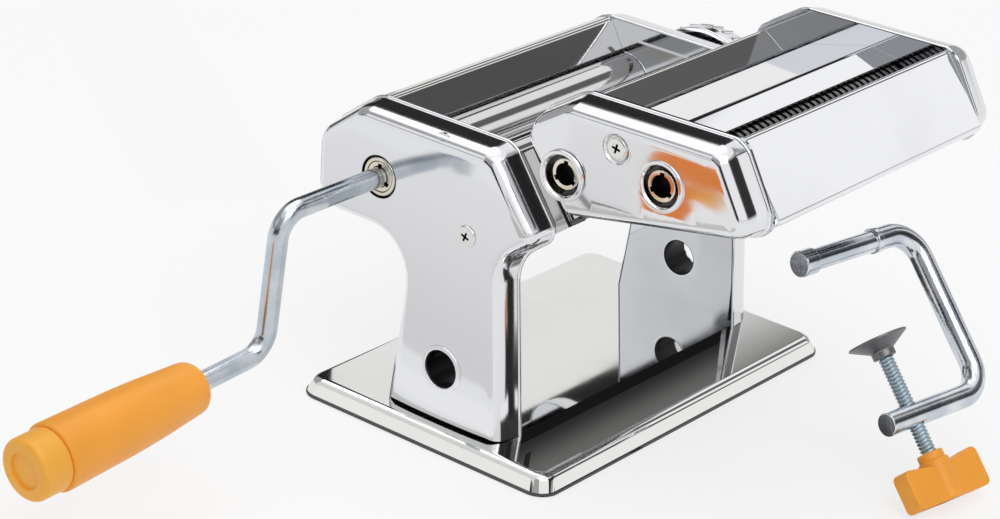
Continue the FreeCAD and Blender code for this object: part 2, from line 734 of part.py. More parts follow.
def make_housing():
    """Side covers and side frames with their holes, and the sleeves of the clamp holes."""
    corners = housing_corners()
    cover = pressed_cover(corners, frame_x, cover_x, open_side=0)
    sleeve_radius = CLAMP_BORE_RADIUS + CLAMP_SLEEVE_WALL
    clamp_hole = cylinder(frame_x - 1, cover_x + 1, sleeve_radius, CLAMP_HOLE_Y, CLAMP_HOLE_Z)
    cover_hole = screw_hole(cover_in_x - 1, cover_x + 1, COVER_SCREW_Y, COVER_SCREW_Z)
    cover = cut_all(cover, [clamp_hole, cover_hole])
    dial_hole = cylinder(cover_in_x - 1, cover_x + 1, SHAFT_RADIUS + BUSH_WALL + BUSH_FLANGE, dial_y, dial_z)
    parts["dial_side_cover"] = cover.cut(dial_hole)
    crank_hole = cylinder(-cover_x - 1, -cover_in_x + 1, CRANK_HOLE_RADIUS, FIXED_AXIS_Y, ROLLER_AXIS_Z)
    parts["crank_side_cover"] = other_side(cover).cut(crank_hole)

    plain = plate(inset(corners, COVER_SHEET + FRAME_GAP, 0, 0.0), frame_x, frame_out_x)
    foot_front = FOOT_FRONT_Y + 3 * COVER_FOLD_RADIUS
    foot_rear = FOOT_REAR_Y - 3 * COVER_FOLD_RADIUS
    foot = block(frame_x, frame_out_x + FRAME_FOOT_REACH, foot_front, foot_rear,
                 BASE_TOP, BASE_TOP + FRAME_SHEET)
    holes = [clamp_hole]
    for y, z in rod_places():
        holes.append(screw_hole(frame_x - 1, frame_out_x + 1, y, z))
    for x, y in foot_screw_places()[2:]:
        holes.append(Part.makeCylinder(SCREW_RADIUS + SCREW_HOLE_CLEARANCE, 6, vec(x, y, BASE_TOP - 1)))
    frame = cut_all(fuse_all([plain, foot]), holes)
    dial_holes = [
        cylinder(frame_x - 1, frame_out_x + 1, SHAFT_RADIUS + RUNNING_FIT + BUSH_WALL, dial_y, dial_z),
        cylinder(frame_x - 1, frame_out_x + 1, DIAL_JOURNAL_RADIUS + RUNNING_FIT + BUSH_WALL,
                 FIXED_AXIS_Y, ROLLER_AXIS_Z),
    ]
    parts["dial_side_frame"] = cut_all(frame, dial_holes)
    hub_room = GEAR_HUB_RADIUS + ECCENTRICITY + FRAME_GAP
    crank_holes = [
        cylinder(-frame_out_x - 1, -frame_x + 1, hub_room, dial_y, dial_z),
        cylinder(-frame_out_x - 1, -frame_x + 1, JOURNAL_RADIUS + RUNNING_FIT + BUSH_WALL,
                 FIXED_AXIS_Y, ROLLER_AXIS_Z),
    ]
    for y, z in spacer_places():
        crank_holes.append(screw_hole(-frame_out_x - 1, -frame_x + 1, y, z))
    parts["crank_side_frame"] = cut_all(other_side(frame), crank_holes)

    wall = tube(frame_x, cover_x, sleeve_radius, CLAMP_BORE_RADIUS, CLAMP_HOLE_Y, CLAMP_HOLE_Z)
    lip = tube(cover_x, cover_x + CLAMP_LIP_HEIGHT, sleeve_radius + CLAMP_LIP, CLAMP_BORE_RADIUS,
               CLAMP_HOLE_Y, CLAMP_HOLE_Z)
    group("clamp_sleeves", both_sides(fuse_all([wall, lip])))


def rod_places():
    """(y, z) of the tie rods between the side frames; the first carries the cover screw."""
    return [(COVER_SCREW_Y, COVER_SCREW_Z), (REAR_ROD_Y, REAR_ROD_Z), (TOP_ROD_Y, TOP_ROD_Z)]


def spacer_places():
    """(y, z) of the two spacers of the bearing plate."""
    return [(dial_y, UPPER_SPACER_Z), (LOWER_SPACER_Y, LOWER_SPACER_Z)]


def make_tie_rods():
    """Tie rods, their screws, and the posts that carry the cover screws."""
    group("tie_rods", [tie_rod(frame_x, ROD_RADIUS, y, z) for y, z in rod_places()])
    screws = []
    for y, z in rod_places()[1:]:
        screws += both_sides(screw(frame_out_x, FRAME_SHEET + ROD_THREAD_DEPTH - 1, y, z))
    for y, z in spacer_places():
        long_screw = screw(-plate_end_x, -plate_end_x - frame_x, y, z)
        screws.append(other_side(long_screw))
    group("frame_screws", screws)
    post = cylinder(frame_out_x, cover_in_x, ROD_RADIUS - 0.5, COVER_SCREW_Y, COVER_SCREW_Z)
    post = post.cut(screw_hole(cover_in_x - ROD_THREAD_DEPTH, cover_in_x + 1, COVER_SCREW_Y, COVER_SCREW_Z))
    stud = cylinder(frame_out_x - FRAME_SHEET - ROD_THREAD_DEPTH + 1, frame_out_x, SCREW_RADIUS,
                    COVER_SCREW_Y, COVER_SCREW_Z)
    spacers = []
    for y, z in spacer_places():
        spacer = cylinder(plate_x, -frame_out_x, SPACER_RADIUS, y, z)
        spacers.append(spacer.cut(screw_hole(plate_x - 1, -frame_out_x + 1, y, z)))
    group("frame_posts", both_sides(fuse_all([post, stud])) + spacers)
    cover_screw = domed_screw(cover_x, COVER_SHEET + ROD_THREAD_DEPTH - 1, COVER_SCREW_Y, COVER_SCREW_Z)
    group("cover_screws", both_sides(cover_screw))


def make_fixed_roller():
    """Driven sheet roller with its crank socket, gear, bushes and the ring round the socket."""
    y = FIXED_AXIS_Y
    z = ROLLER_AXIS_Z
    drum_x = frame_x - ROLLER_END_PLAY
    journal_x = frame_x + BUSH_LENGTH
    mouth_x = -cover_x - SLEEVE_PROUD
    body = fuse_all([
        cylinder(-drum_x, drum_x, ROLLER_RADIUS, y, z),
        cylinder(-journal_x, -drum_x, JOURNAL_RADIUS, y, z),
        cylinder(mouth_x, -journal_x, SLEEVE_RADIUS, y, z),
        cylinder(drum_x, journal_x + RETAINER_THICKNESS, DIAL_JOURNAL_RADIUS, y, z),
    ])
    parts["fixed_roller"] = body.cut(crank_socket(mouth_x, y, z))
    gear_x = -frame_x - BUSH_LENGTH - ROLLER_GEAR_GAP
    wheel = gear(ROLLER_GEAR_TEETH, ROLLER_GEAR_TEETH * ROLLER_GEAR_MODULE / 2, ROLLER_GEAR_ADDENDUM,
                 ROLLER_GEAR_DEDENDUM, ROLLER_GEAR_TIP_WIDTH, ROLLER_GEAR_ROOT_WIDTH,
                 gear_x - ROLLER_GEAR_WIDTH, gear_x, y, z, 0)
    gear_bore = cylinder(gear_x - ROLLER_GEAR_WIDTH - 1, gear_x + 1, SLEEVE_RADIUS, y, z)
    parts["fixed_roller_gear"] = wheel.cut(gear_bore)
    crank_ring = tube(mouth_x - SLEEVE_PROUD, gear_x - ROLLER_GEAR_WIDTH,
                      CRANK_RING_RADIUS, SLEEVE_RADIUS, y, z)
    retainer = tube(journal_x, journal_x + RETAINER_THICKNESS, RETAINER_RADIUS, DIAL_JOURNAL_RADIUS, y, z)
    group("roller_rings", [crank_ring, retainer])
    shaft_bore = SHAFT_RADIUS + RUNNING_FIT
    bushes = [
        other_side(bush(JOURNAL_RADIUS + RUNNING_FIT, BUSH_WALL, frame_x, y, z)),
        bush(DIAL_JOURNAL_RADIUS + RUNNING_FIT, BUSH_WALL, frame_x, y, z),
        bush(shaft_bore, BUSH_WALL, frame_x, dial_y, dial_z),
        tube(plate_end_x, plate_x, shaft_bore + BUSH_WALL, shaft_bore, dial_y, dial_z),
    ]
    group("frame_bushes", bushes)


def make_adjustable_roller():
    """Hollow sheet roller on its eccentric shaft, with its bushes, gear and bearing plate."""
    y = moving_y
    z = moving_z
    end_x = frame_x - ROLLER_END_PLAY
    bush_inner = ECCENTRIC_RADIUS + RUNNING_FIT
    bush_outer = bush_inner + ROLLER_BUSH_WALL
    seat_radius = bush_outer + RUNNING_FIT
    drum = cylinder(-end_x, end_x, ROLLER_RADIUS, y, z)
    seats = cylinder(-end_x - 1, end_x + 1, seat_radius, y, z)
    middle_x = end_x - ROLLER_BUSH_LENGTH - 1
    middle = cylinder(-middle_x, middle_x, ROLLER_RADIUS - TUBE_WALL, y, z)
    parts["adjustable_roller"] = cut_all(drum, [seats.fuse(middle)])
    bush_piece = tube(end_x - ROLLER_BUSH_LENGTH, end_x - ROLLER_END_PLAY, bush_outer, bush_inner, y, z)
    group("roller_bushes", both_sides(bush_piece))

    gear_x = -frame_x - BUSH_LENGTH - ROLLER_GEAR_GAP
    gear_end_x = gear_x - ROLLER_GEAR_WIDTH
    wheel = gear(ROLLER_GEAR_TEETH, ROLLER_GEAR_TEETH * ROLLER_GEAR_MODULE / 2, ROLLER_GEAR_ADDENDUM,
                 ROLLER_GEAR_DEDENDUM, ROLLER_GEAR_TIP_WIDTH, ROLLER_GEAR_ROOT_WIDTH,
                 gear_end_x, gear_x, y, z, 180.0 / ROLLER_GEAR_TEETH)
    hub = cylinder(gear_x, -end_x, GEAR_HUB_RADIUS, y, z)
    bore = cylinder(gear_end_x - 1, -end_x + 1, bush_inner + FRAME_GAP, y, z)
    parts["adjustable_roller_gear"] = fuse_all([wheel, hub]).cut(bore)

    shaft_end_x = plate_end_x - FRAME_SHEET
    eccentric = cylinder(gear_end_x - ROLLER_END_PLAY, end_x, ECCENTRIC_RADIUS, y, z)
    crank_end = cylinder(shaft_end_x, gear_end_x, SHAFT_RADIUS, dial_y, dial_z)
    knob_x = cover_x + INDEX_PLATE_THICKNESS + KNOB_GAP
    dial_end_x = knob_x + KNOB_LENGTH - 2 * DIAL_WASHER_THICKNESS
    dial_end = cylinder(end_x - 1, dial_end_x, SHAFT_RADIUS, dial_y, dial_z)
    flat = block(cover_x, dial_end_x + 1, dial_y - SHAFT_RADIUS, dial_y + SHAFT_RADIUS,
                 dial_z + SHAFT_RADIUS - FLAT_DEPTH, dial_z + SHAFT_RADIUS + 1)
    shaft = fuse_all([eccentric, crank_end, dial_end]).cut(flat)
    thread = screw_hole(dial_end_x - ROD_THREAD_DEPTH, dial_end_x + 1, dial_y, dial_z)
    parts["eccentric_shaft"] = shaft.cut(thread)

    bearing_outer = SHAFT_RADIUS + RUNNING_FIT + BUSH_WALL
    places = [(COVER_SCREW_Y, COVER_SCREW_Z)] + spacer_places()
    eye = cylinder(plate_end_x, plate_x, bearing_outer + BUSH_FLANGE, dial_y, dial_z)
    arms = []
    for arm_y, arm_z in places:
        arms.append(cylinder(plate_end_x, plate_x, PLATE_EDGE, arm_y, arm_z))
        arms.append(link_plate((dial_y, dial_z), (arm_y, arm_z), PLATE_EDGE, plate_end_x, plate_x))
    bearing = fuse_all([eye] + arms)
    holes = [cylinder(plate_end_x - 1, plate_x + 1, bearing_outer, dial_y, dial_z)]
    holes.append(cylinder(plate_end_x - 1, plate_x + 1, ROD_RADIUS - 0.5, COVER_SCREW_Y, COVER_SCREW_Z))
    for hole_y, hole_z in spacer_places():
        holes.append(screw_hole(plate_end_x - 1, plate_x + 1, hole_y, hole_z))
    parts["bearing_plate"] = cut_all(bearing, holes)


def link_plate(start, end, half_width, x0, x1):
    """Straight flat bar between two (y, z) places."""
    dy = end[0] - start[0]
    dz = end[1] - start[1]
    length = math.hypot(dy, dz)
    side_y = -dz / length * half_width
    side_z = dy / length * half_width
    corners = [(start[0] + side_y, start[1] + side_z, 0), (end[0] + side_y, end[1] + side_z, 0),
               (end[0] - side_y, end[1] - side_z, 0), (start[0] - side_y, start[1] - side_z, 0)]
    return plate(corners, x0, x1)


def make_dial():
    """Dial knob with its spring, washer screw, and the index plate and pin behind it."""
    index_x = cover_x + INDEX_PLATE_THICKNESS
    knob_x = index_x + KNOB_GAP
    knob_end_x = knob_x + KNOB_LENGTH
    hub_hole = SHAFT_RADIUS + BUSH_WALL
    index = tube(cover_x, index_x, INDEX_PLATE_RADIUS, hub_hole, dial_y, dial_z)
    pin = cylinder(cover_x, cover_x + PIN_LENGTH, PIN_RADIUS, dial_y, dial_z - PIN_CIRCLE_RADIUS)
    parts["index_plate"] = fuse_all([index, pin])

    inner_radius = KNOB_RADIUS - KNOB_WALL
    web_x = knob_x + SPRING_POCKET_FLOOR
    web_in_x = cover_x + PIN_LENGTH + PIN_CLEARANCE
    skirt = cylinder(knob_x, knob_x + KNOB_SKIRT, KNOB_RADIUS, dial_y, dial_z)
    cone = Part.makeCone(KNOB_RADIUS, KNOB_WAIST_RADIUS, KNOB_LENGTH - KNOB_SKIRT,
                         vec(knob_x + KNOB_SKIRT, dial_y, dial_z), vec(1, 0, 0))
    rim = [edge for edge in cone.Edges if edge.BoundBox.XMin > knob_end_x - 1e-3]
    cone = cone.makeFillet(KNOB_WALL, rim)
    hollow = tube(knob_x - 1, web_in_x, inner_radius, KNOB_HUB_RADIUS, dial_y, dial_z)
    cuts = [hollow]
    cuts.append(cylinder(web_x, knob_end_x + 1, SPRING_POCKET_RADIUS, dial_y, dial_z))
    shaft_bore = cylinder(knob_x - 1, web_x + 1, SHAFT_RADIUS + RUNNING_FIT, dial_y, dial_z)
    flat = block(knob_x - 2, web_x + 2, dial_y - KNOB_HUB_RADIUS, dial_y + KNOB_HUB_RADIUS,
                 dial_z + SHAFT_RADIUS - FLAT_DEPTH + RUNNING_FIT, dial_z + KNOB_HUB_RADIUS)
    cuts.append(shaft_bore.cut(flat))
    for station in range(DIAL_STATIONS):
        angle = math.radians(-90 + DIAL_SWING * station / (DIAL_STATIONS - 1))
        dimple_y = dial_y + PIN_CIRCLE_RADIUS * math.cos(angle)
        dimple_z = dial_z + PIN_CIRCLE_RADIUS * math.sin(angle)
        cuts.append(cylinder(web_in_x - 1, web_in_x + DIMPLE_DEPTH, PIN_RADIUS + PIN_CLEARANCE,
                             dimple_y, dimple_z))
    parts["dial_knob"] = cut_all(fuse_all([skirt, cone]), cuts)

    washer_x = knob_end_x - 2 * DIAL_WASHER_THICKNESS
    washer = cylinder(washer_x, washer_x + DIAL_WASHER_THICKNESS, DIAL_WASHER_RADIUS, dial_y, dial_z)
    shank = cylinder(washer_x - ROD_THREAD_DEPTH + 1, washer_x, SCREW_RADIUS, dial_y, dial_z)
    parts["dial_screw"] = fuse_all([washer, shank])
    parts["dial_spring"] = tube(web_x + RUNNING_FIT, washer_x - RUNNING_FIT,
                                SPRING_COIL_RADIUS + SPRING_WIRE_RADIUS,
                                SPRING_COIL_RADIUS - SPRING_WIRE_RADIUS, dial_y, dial_z)


def make_crank():
    """Crank rod with its splined tip, the turning grip, its end cap and the retaining nut."""
    swing = math.radians(CRANK_SWING)
    splay = math.radians(HANDLE_SPLAY)
    down = vec(0, math.sin(swing), -math.cos(swing))
    axis = vec(0, FIXED_AXIS_Y, ROLLER_AXIS_Z)
    mouth_x = -cover_x - SLEEVE_PROUD
    tip = axis + vec(mouth_x + CRANK_INSERTION, 0, 0)
    elbow = axis + vec(CRANK_ELBOW_X, 0, 0)
    low_elbow = elbow + down * CRANK_THROW
    out = vec(-math.cos(splay), 0, 0) + down * math.sin(splay)
    grip_start = low_elbow + out * GRIP_START
    nut_start = grip_start + out * (GRIP_BODY_LENGTH + RUNNING_FIT)
    rod_end = nut_start + out * RETAINER_NUT_LENGTH
    bends = [0, CRANK_BEND_RADIUS, CRANK_BEND_RADIUS, 0]
    rod = swept_rod([tip, elbow, low_elbow, rod_end], bends, CRANK_RADIUS)
    spline_end = tip.x - CRANK_SPLINE_LENGTH
    ribs = splines(SPLINE_RADIUS, SPLINE_WIDTH, spline_end, tip.x, axis.y, axis.z)
    parts["crank_rod"] = fuse_all([rod] + ribs)

    bore_radius = CRANK_RADIUS + RUNNING_FIT
    body = revolved([(0, bore_radius, 0), (0, GRIP_NOSE_RADIUS, GRIP_NOSE_ROUND),
                     (GRIP_SHOULDER, GRIP_SHOULDER_RADIUS, GRIP_SHOULDER_ROUND),
                     (GRIP_BODY_LENGTH, GRIP_END_RADIUS, GRIP_END_ROUND), (GRIP_BODY_LENGTH, bore_radius, 0)],
                    grip_start, out)
    parts["crank_grip"] = body
    cap_start = grip_start + out * GRIP_BODY_LENGTH
    room = RETAINER_NUT_RADIUS + FRAME_GAP
    room_depth = RETAINER_NUT_LENGTH + 2 * FRAME_GAP
    cap = revolved([(0, room, 0), (0, GRIP_CAP_RADIUS, 0), (GRIP_CAP_LENGTH, GRIP_CAP_RADIUS, GRIP_CAP_ROUND),
                    (GRIP_CAP_LENGTH, GRIP_RECESS_RADIUS, 0),
                    (GRIP_CAP_LENGTH - GRIP_RECESS_DEPTH, GRIP_RECESS_RADIUS, 0),
                    (GRIP_CAP_LENGTH - GRIP_RECESS_DEPTH, 0, 0), (room_depth, 0, 0), (room_depth, room, 0)],
                   cap_start, out)
    parts["grip_cap"] = cap
    nut = Part.makeCylinder(RETAINER_NUT_RADIUS, RETAINER_NUT_LENGTH, nut_start, out)
    parts["grip_retainer"] = nut.cut(Part.makeCylinder(CRANK_RADIUS, 3 * RETAINER_NUT_LENGTH,
                                                       nut_start - out * RETAINER_NUT_LENGTH, out))


def swept_rod(points, bends, radius):
    """Round bar along straight runs joined by tangent arcs."""
    edges = Part.__sortEdges__(rounded_edges(points, bends, False))
    path = Part.Wire(edges)
    start = points[0]
    direction = points[1] - points[0]
    section = Part.Wire(Part.makeCircle(radius, start, direction))
    return path.makePipeShell([section], True, False)


def revolved(profile, start, direction):
    """Solid of revolution about a line; the profile has (along, radius, rounding) corners."""
    points = [vec(along, radius, 0) for along, radius, rounding in profile]
    edges = rounded_edges(points, [rounding for along, radius, rounding in profile], True)
    face = Part.Face(Part.Wire(Part.__sortEdges__(edges)))
    solid = face.revolve(vec(0, 0, 0), vec(1, 0, 0), 360)
    place = FreeCAD.Placement(start, FreeCAD.Rotation(vec(1, 0, 0), direction))
    solid.Placement = place.multiply(solid.Placement)
    return solid


def make_hopper():
    """Hopper sheets, roller scrapers and end guides between the side frames."""
    rear = [(REAR_SHEET_FOOT_Y, REAR_SHEET_FOOT_Z), (REAR_SHEET_TOP_Y, REAR_SHEET_TOP_Z),
            (PEAK_Y + 1.5, HOUSING_TOP - SHEET_INSET - 1.0),
            (REAR_UPPER_Y - SHEET_INSET, REAR_UPPER_Z - SHEET_INSET),
            (REAR_LOWER_Y - SHEET_INSET, REAR_LOWER_Z + REAR_LOWER_RADIUS)]
    parts["rear_hopper_sheet"] = bent_sheet(rear, SHEET_THICKNESS, -frame_x, frame_x)
    top = slope_place(SLOPE_LENGTH - 3.5, -SHEET_INSET)
    low = slope_place(3.0, -SHEET_INSET)
    front = [(FRONT_SHEET_FOOT_Y, FRONT_SHEET_FOOT_Z), (TOP_FRONT_Y + 3.4, HOUSING_TOP - SHEET_INSET),
             top, low]
    rails = both_sides(make_rail())
    group("guide_rails", rails)
    parts["front_hopper_sheet"] = cut_all(bent_sheet(front, SHEET_THICKNESS, -frame_x, frame_x), rails)

    fixed_reach = ROLLER_RADIUS + SCRAPER_GAP + SCRAPER_THICKNESS / 2
    moving_reach = fixed_reach + ECCENTRICITY + station_rise
    rear_tip = (FIXED_AXIS_Y + fixed_reach * math.cos(math.radians(-75)),
                ROLLER_AXIS_Z + fixed_reach * math.sin(math.radians(-75)))
    front_tip = (moving_y + moving_reach * math.cos(math.radians(-105)),
                 moving_z + moving_reach * math.sin(math.radians(-105)))
    scrapers = []
    for (tip_y, tip_z), side, lip in ((rear_tip, 1, REAR_SCRAPER_LIP), (front_tip, -1, FRONT_SCRAPER_LIP)):
        bend_y = tip_y + side * SCRAPER_RUN
        bend_z = tip_z - SCRAPER_FALL
        line = [(tip_y, tip_z), (bend_y, bend_z), (bend_y + side * SCRAPER_LIP_RUN, bend_z - lip)]
        scrapers.append(bent_sheet(line, SCRAPER_THICKNESS, -frame_x, frame_x))
    group("roller_scrapers", scrapers)
    guide_z = ROLLER_AXIS_Z + ROLLER_RADIUS + 2.5
    guide = block(frame_x - GUIDE_THICKNESS, frame_x, GUIDE_FRONT_Y, GUIDE_REAR_Y,
                  guide_z, guide_z + GUIDE_HEIGHT)
    group("end_guides", both_sides(guide))


def slope_bar(corners, u0, u1):
    """Bar along the slanted front from (x, n) corners, n being the height above the slope."""
    points = []
    for x, n in corners + corners[:1]:
        y, z = slope_place(u0, n)
        points.append(vec(x, y, z))
    face = Part.Face(Part.makePolygon(points))
    run = u1 - u0
    return face.extrude(vec(0, run * slope_cos, run * slope_sin))


def make_rail():
    """Rail on the side frame that the hook of the cutter attachment slides on."""
    root_x = frame_x - RAIL_SHEET
    lip_x = frame_x - RAIL_LIP
    lip_low = RAIL_HEIGHT - RAIL_SHEET
    rail = slope_bar([(frame_x, -RAIL_ROOT), (frame_x, RAIL_HEIGHT), (lip_x, RAIL_HEIGHT), (lip_x, lip_low),
                      (root_x, lip_low), (root_x, -RAIL_ROOT)], RAIL_START, RAIL_END)
    stop_low = lip_low - HOOK_CLEARANCE - HOOK_SHEET
    stop = slope_bar([(root_x, stop_low), (root_x, lip_low), (lip_x, lip_low), (lip_x, stop_low)],
                     RAIL_START, RAIL_START + RAIL_STOP_LENGTH)
    return fuse_all([rail, stop])


def make_cutter_frame():
    """Side plate of the cutter attachment with its hook, on the +X side, before its holes."""
    corners = inset(cutter_corners(), FRAME_GAP)
    body = plate(corners, cutter_frame_x, cutter_flange_x)
    lip_low = RAIL_HEIGHT - RAIL_SHEET
    under_top = lip_low - HOOK_CLEARANCE
    under_low = under_top - HOOK_SHEET
    over_low = RAIL_HEIGHT + HOOK_CLEARANCE
    over_top = over_low + HOOK_SHEET
    web_x = frame_x - RAIL_LIP - HOOK_CLEARANCE
    web_in_x = web_x - HOOK_SHEET
    under_x = web_x + HOOK_OVERLAP
    hook = slope_bar([
        (cutter_frame_x, HOOK_ROOT), (cutter_flange_x, HOOK_ROOT), (cutter_flange_x, over_low),
        (web_x, over_low), (web_x, under_top), (under_x, under_top), (under_x, under_low),
        (web_in_x, under_low),
        (web_in_x, over_top), (cutter_frame_x, over_top)], hook_start, hook_start + HOOK_LENGTH)
    return fuse_all([body, hook])


def cutter_axes():
    """(y, z) of the four cutter roller axes: wide drive and follower, narrow drive and follower."""
    reach_y = -CUTTER_SPACING * tilt_cos
    reach_z = CUTTER_SPACING * tilt_sin
    return {
        "wide_drive": (wide_y, wide_z),
        "wide_follower": (wide_y + reach_y, wide_z + reach_z),
        "narrow_drive": (narrow_y, narrow_z),
        "narrow_follower": (narrow_y + reach_y, narrow_z + reach_z),
    }


def disc_places(ribbon, follower):
    """Ends of each cutting disc along X; the follower's discs stand in the drive roller's grooves."""
    half = cutter_frame_x - CUTTER_END_PLAY
    pitch = 2 * ribbon
    width = ribbon - DISC_SIDE_CLEARANCE
    grooves = int((2 * half - ribbon) / pitch)
    start = -(grooves * pitch + width) / 2
    if follower:
        start += ribbon
    count = grooves if follower else grooves + 1
    return [(start + index * pitch, start + index * pitch + width) for index in range(count)]


def cutter_roller(ribbon, sides, y, z, follower):
    """Cutter roller: a core with sharp edged discs, one ribbon wide and one ribbon apart."""
    half = cutter_frame_x - CUTTER_END_PLAY
    core_radius = DISC_RADIUS - DISC_OVERLAP - DISC_TIP_CLEARANCE
    solids = [polygon(sides // 2, core_radius, -half, half, y, z)]
    for x0, x1 in disc_places(ribbon, follower):
        solids.append(polygon(sides, DISC_RADIUS, x0, x1, y, z))
    gear_end_x = cutter_flange_x + BUSH_LENGTH + CUTTER_GEAR_GAP + CUTTER_GEAR_WIDTH
    solids.append(cylinder(half, gear_end_x, CUTTER_JOURNAL_RADIUS, y, z))
    if follower:
        solids.append(cylinder(-cutter_frame_x - BUSH_LENGTH - 1, -half, CUTTER_JOURNAL_RADIUS, y, z))
        return fuse_all(solids)
    solids.append(cylinder(-CUTTER_SLEEVE_END_X, -half, SLEEVE_RADIUS, y, z))
    return fuse_all(solids).cut(crank_socket(-CUTTER_SLEEVE_END_X, y, z))


def comb(ribbon, y, z, follower):
    """Bar under a cutter roller with a finger in each groove."""
    core_radius = DISC_RADIUS - DISC_OVERLAP - DISC_TIP_CLEARANCE
    half_bar = COMB_BAR / 2
    bar_z = z - COMB_DROP
    solids = [block(-cutter_frame_x, cutter_frame_x, y - half_bar, y + half_bar,
                    bar_z - half_bar, bar_z + half_bar)]
    edges = disc_places(ribbon, follower)
    for (x0, x1), (next_x0, next_x1) in zip(edges[:-1], edges[1:]):
        solids.append(block(x1 + COMB_FINGER_CLEARANCE, next_x0 - COMB_FINGER_CLEARANCE, y - half_bar / 2,
                            y + half_bar / 2, bar_z, z - core_radius - COMB_TIP_GAP))
    return fuse_all(solids)


def make_cutters():
    """The four cutter rollers with their gears, bushes and combs."""
    axes = cutter_axes()
    bushes = []
    gear_x = cutter_flange_x + BUSH_LENGTH + CUTTER_GEAR_GAP
    tooth_turn = 180 - CUTTER_TILT
    kinds = (("wide", WIDE_RIBBON, WIDE_DISC_SIDES), ("narrow", NARROW_RIBBON, NARROW_DISC_SIDES))
    for kind, ribbon, sides in kinds:
        combs = []
        for role in ("drive", "follower"):
            y, z = axes[kind + "_" + role]
            follower = role == "follower"
            parts[kind + "_" + role + "_roller"] = cutter_roller(ribbon, sides, y, z, follower)
            turn = tooth_turn + (180 + 180.0 / CUTTER_GEAR_TEETH if follower else 0)
            wheel = gear(CUTTER_GEAR_TEETH, CUTTER_GEAR_PITCH_RADIUS, CUTTER_GEAR_ADDENDUM,
                         CUTTER_GEAR_DEDENDUM, CUTTER_GEAR_TIP_WIDTH, CUTTER_GEAR_ROOT_WIDTH,
                         gear_x, gear_x + CUTTER_GEAR_WIDTH, y, z, turn)
            bore = cylinder(gear_x - 1, gear_x + CUTTER_GEAR_WIDTH + 1, CUTTER_JOURNAL_RADIUS, y, z)
            parts[kind + "_" + role + "_gear"] = wheel.cut(bore)
            small = bush(CUTTER_JOURNAL_RADIUS + RUNNING_FIT, CUTTER_BUSH_WALL, cutter_frame_x, y, z)
            bushes.append(small)
            inner = (CUTTER_JOURNAL_RADIUS if follower else SLEEVE_RADIUS) + RUNNING_FIT
            bushes.append(other_side(bush(inner, CUTTER_BUSH_WALL, cutter_frame_x, y, z)))
            combs.append(comb(ribbon, y, z, follower))
        group(kind + "_combs", combs)
    group("cutter_bushes", bushes)


def cutter_rod_places():
    """(y, z) of the tie rods of the cutter attachment."""
    return [
        (wide_y + REAR_CUTTER_ROD_Y, wide_z + REAR_CUTTER_ROD_Z),
        (narrow_y + MIDDLE_ROD_Y, narrow_z + MIDDLE_ROD_Z),
        (front_bottom_y + FRONT_ROD_Y, front_bottom_z + FRONT_ROD_Z),
    ]


def make_cutter_housing():
    """Covers, side plates, sheets, collars, rods and screws of the cutter attachment."""
    axes = cutter_axes()
    cover = pressed_cover(cutter_corners(), cutter_flange_x, CUTTER_FACE_X)
    cover = cover.cut(screw_hole(cutter_cover_in_x - 1, CUTTER_FACE_X + 1, cutter_screw_y, cutter_screw_z))
    parts["cutter_dial_cover"] = cover
    sockets = [axes["wide_drive"], axes["narrow_drive"]]
    socket_holes = []
    for y, z in sockets:
        socket_holes.append(cylinder(-CUTTER_FACE_X - 1, -cutter_cover_in_x + 1, COLLAR_NECK_RADIUS, y, z))
    parts["cutter_crank_cover"] = cut_all(other_side(cover), socket_holes)
    collars = []
    for y, z in sockets:
        face_x = -CUTTER_FACE_X
        flange = tube(face_x - COLLAR_HEIGHT, face_x, COLLAR_OUTER_RADIUS, COLLAR_INNER_RADIUS, y, z)
        neck = tube(face_x, face_x + COLLAR_NECK_LENGTH, COLLAR_NECK_RADIUS, COLLAR_INNER_RADIUS, y, z)
        collars.append(fuse_all([flange, neck]))
    group("socket_collars", collars)

    frame = make_cutter_frame()
    holes = [screw_hole(cutter_frame_x - 1, cutter_flange_x + 1, y, z) for y, z in cutter_rod_places()]
    holes.append(screw_hole(cutter_frame_x - 1, cutter_flange_x + 1, cutter_screw_y, cutter_screw_z))
    small = CUTTER_JOURNAL_RADIUS + RUNNING_FIT + CUTTER_BUSH_WALL
    large = SLEEVE_RADIUS + RUNNING_FIT + CUTTER_BUSH_WALL
    dial_holes = [cylinder(cutter_frame_x - 1, cutter_flange_x + 1, small, y, z) for y, z in axes.values()]
    crank_holes = []
    for name, (y, z) in axes.items():
        radius = large if name.endswith("drive") else small
        crank_holes.append(cylinder(-cutter_flange_x - 1, -cutter_frame_x + 1, radius, y, z))
    frame = cut_all(frame, holes)
    parts["cutter_dial_frame"] = cut_all(frame, dial_holes)
    parts["cutter_crank_frame"] = cut_all(other_side(frame), crank_holes)

    rods = [tie_rod(cutter_frame_x, CUTTER_ROD_RADIUS, y, z) for y, z in cutter_rod_places()]
    group("cutter_tie_rods", rods)
    screws = []
    for y, z in cutter_rod_places():
        screws += both_sides(screw(cutter_flange_x, FRAME_SHEET + ROD_THREAD_DEPTH - 1, y, z))
    post = cylinder(cutter_flange_x, cutter_cover_in_x, ROD_RADIUS - 0.5, cutter_screw_y, cutter_screw_z)
    post = post.cut(screw_hole(cutter_cover_in_x - ROD_THREAD_DEPTH, cutter_cover_in_x + 1,
                               cutter_screw_y, cutter_screw_z))
    rivet = cylinder(cutter_frame_x, cutter_flange_x, SCREW_RADIUS, cutter_screw_y, cutter_screw_z)
    group("cutter_cover_posts", both_sides(fuse_all([post, rivet])))
    cover_screw = domed_screw(CUTTER_FACE_X, COVER_SHEET + ROD_THREAD_DEPTH - 1,
                              cutter_screw_y, cutter_screw_z)
    group("cutter_screws", screws + both_sides(cover_screw))

    make_cutter_sheets(axes["narrow_follower"])


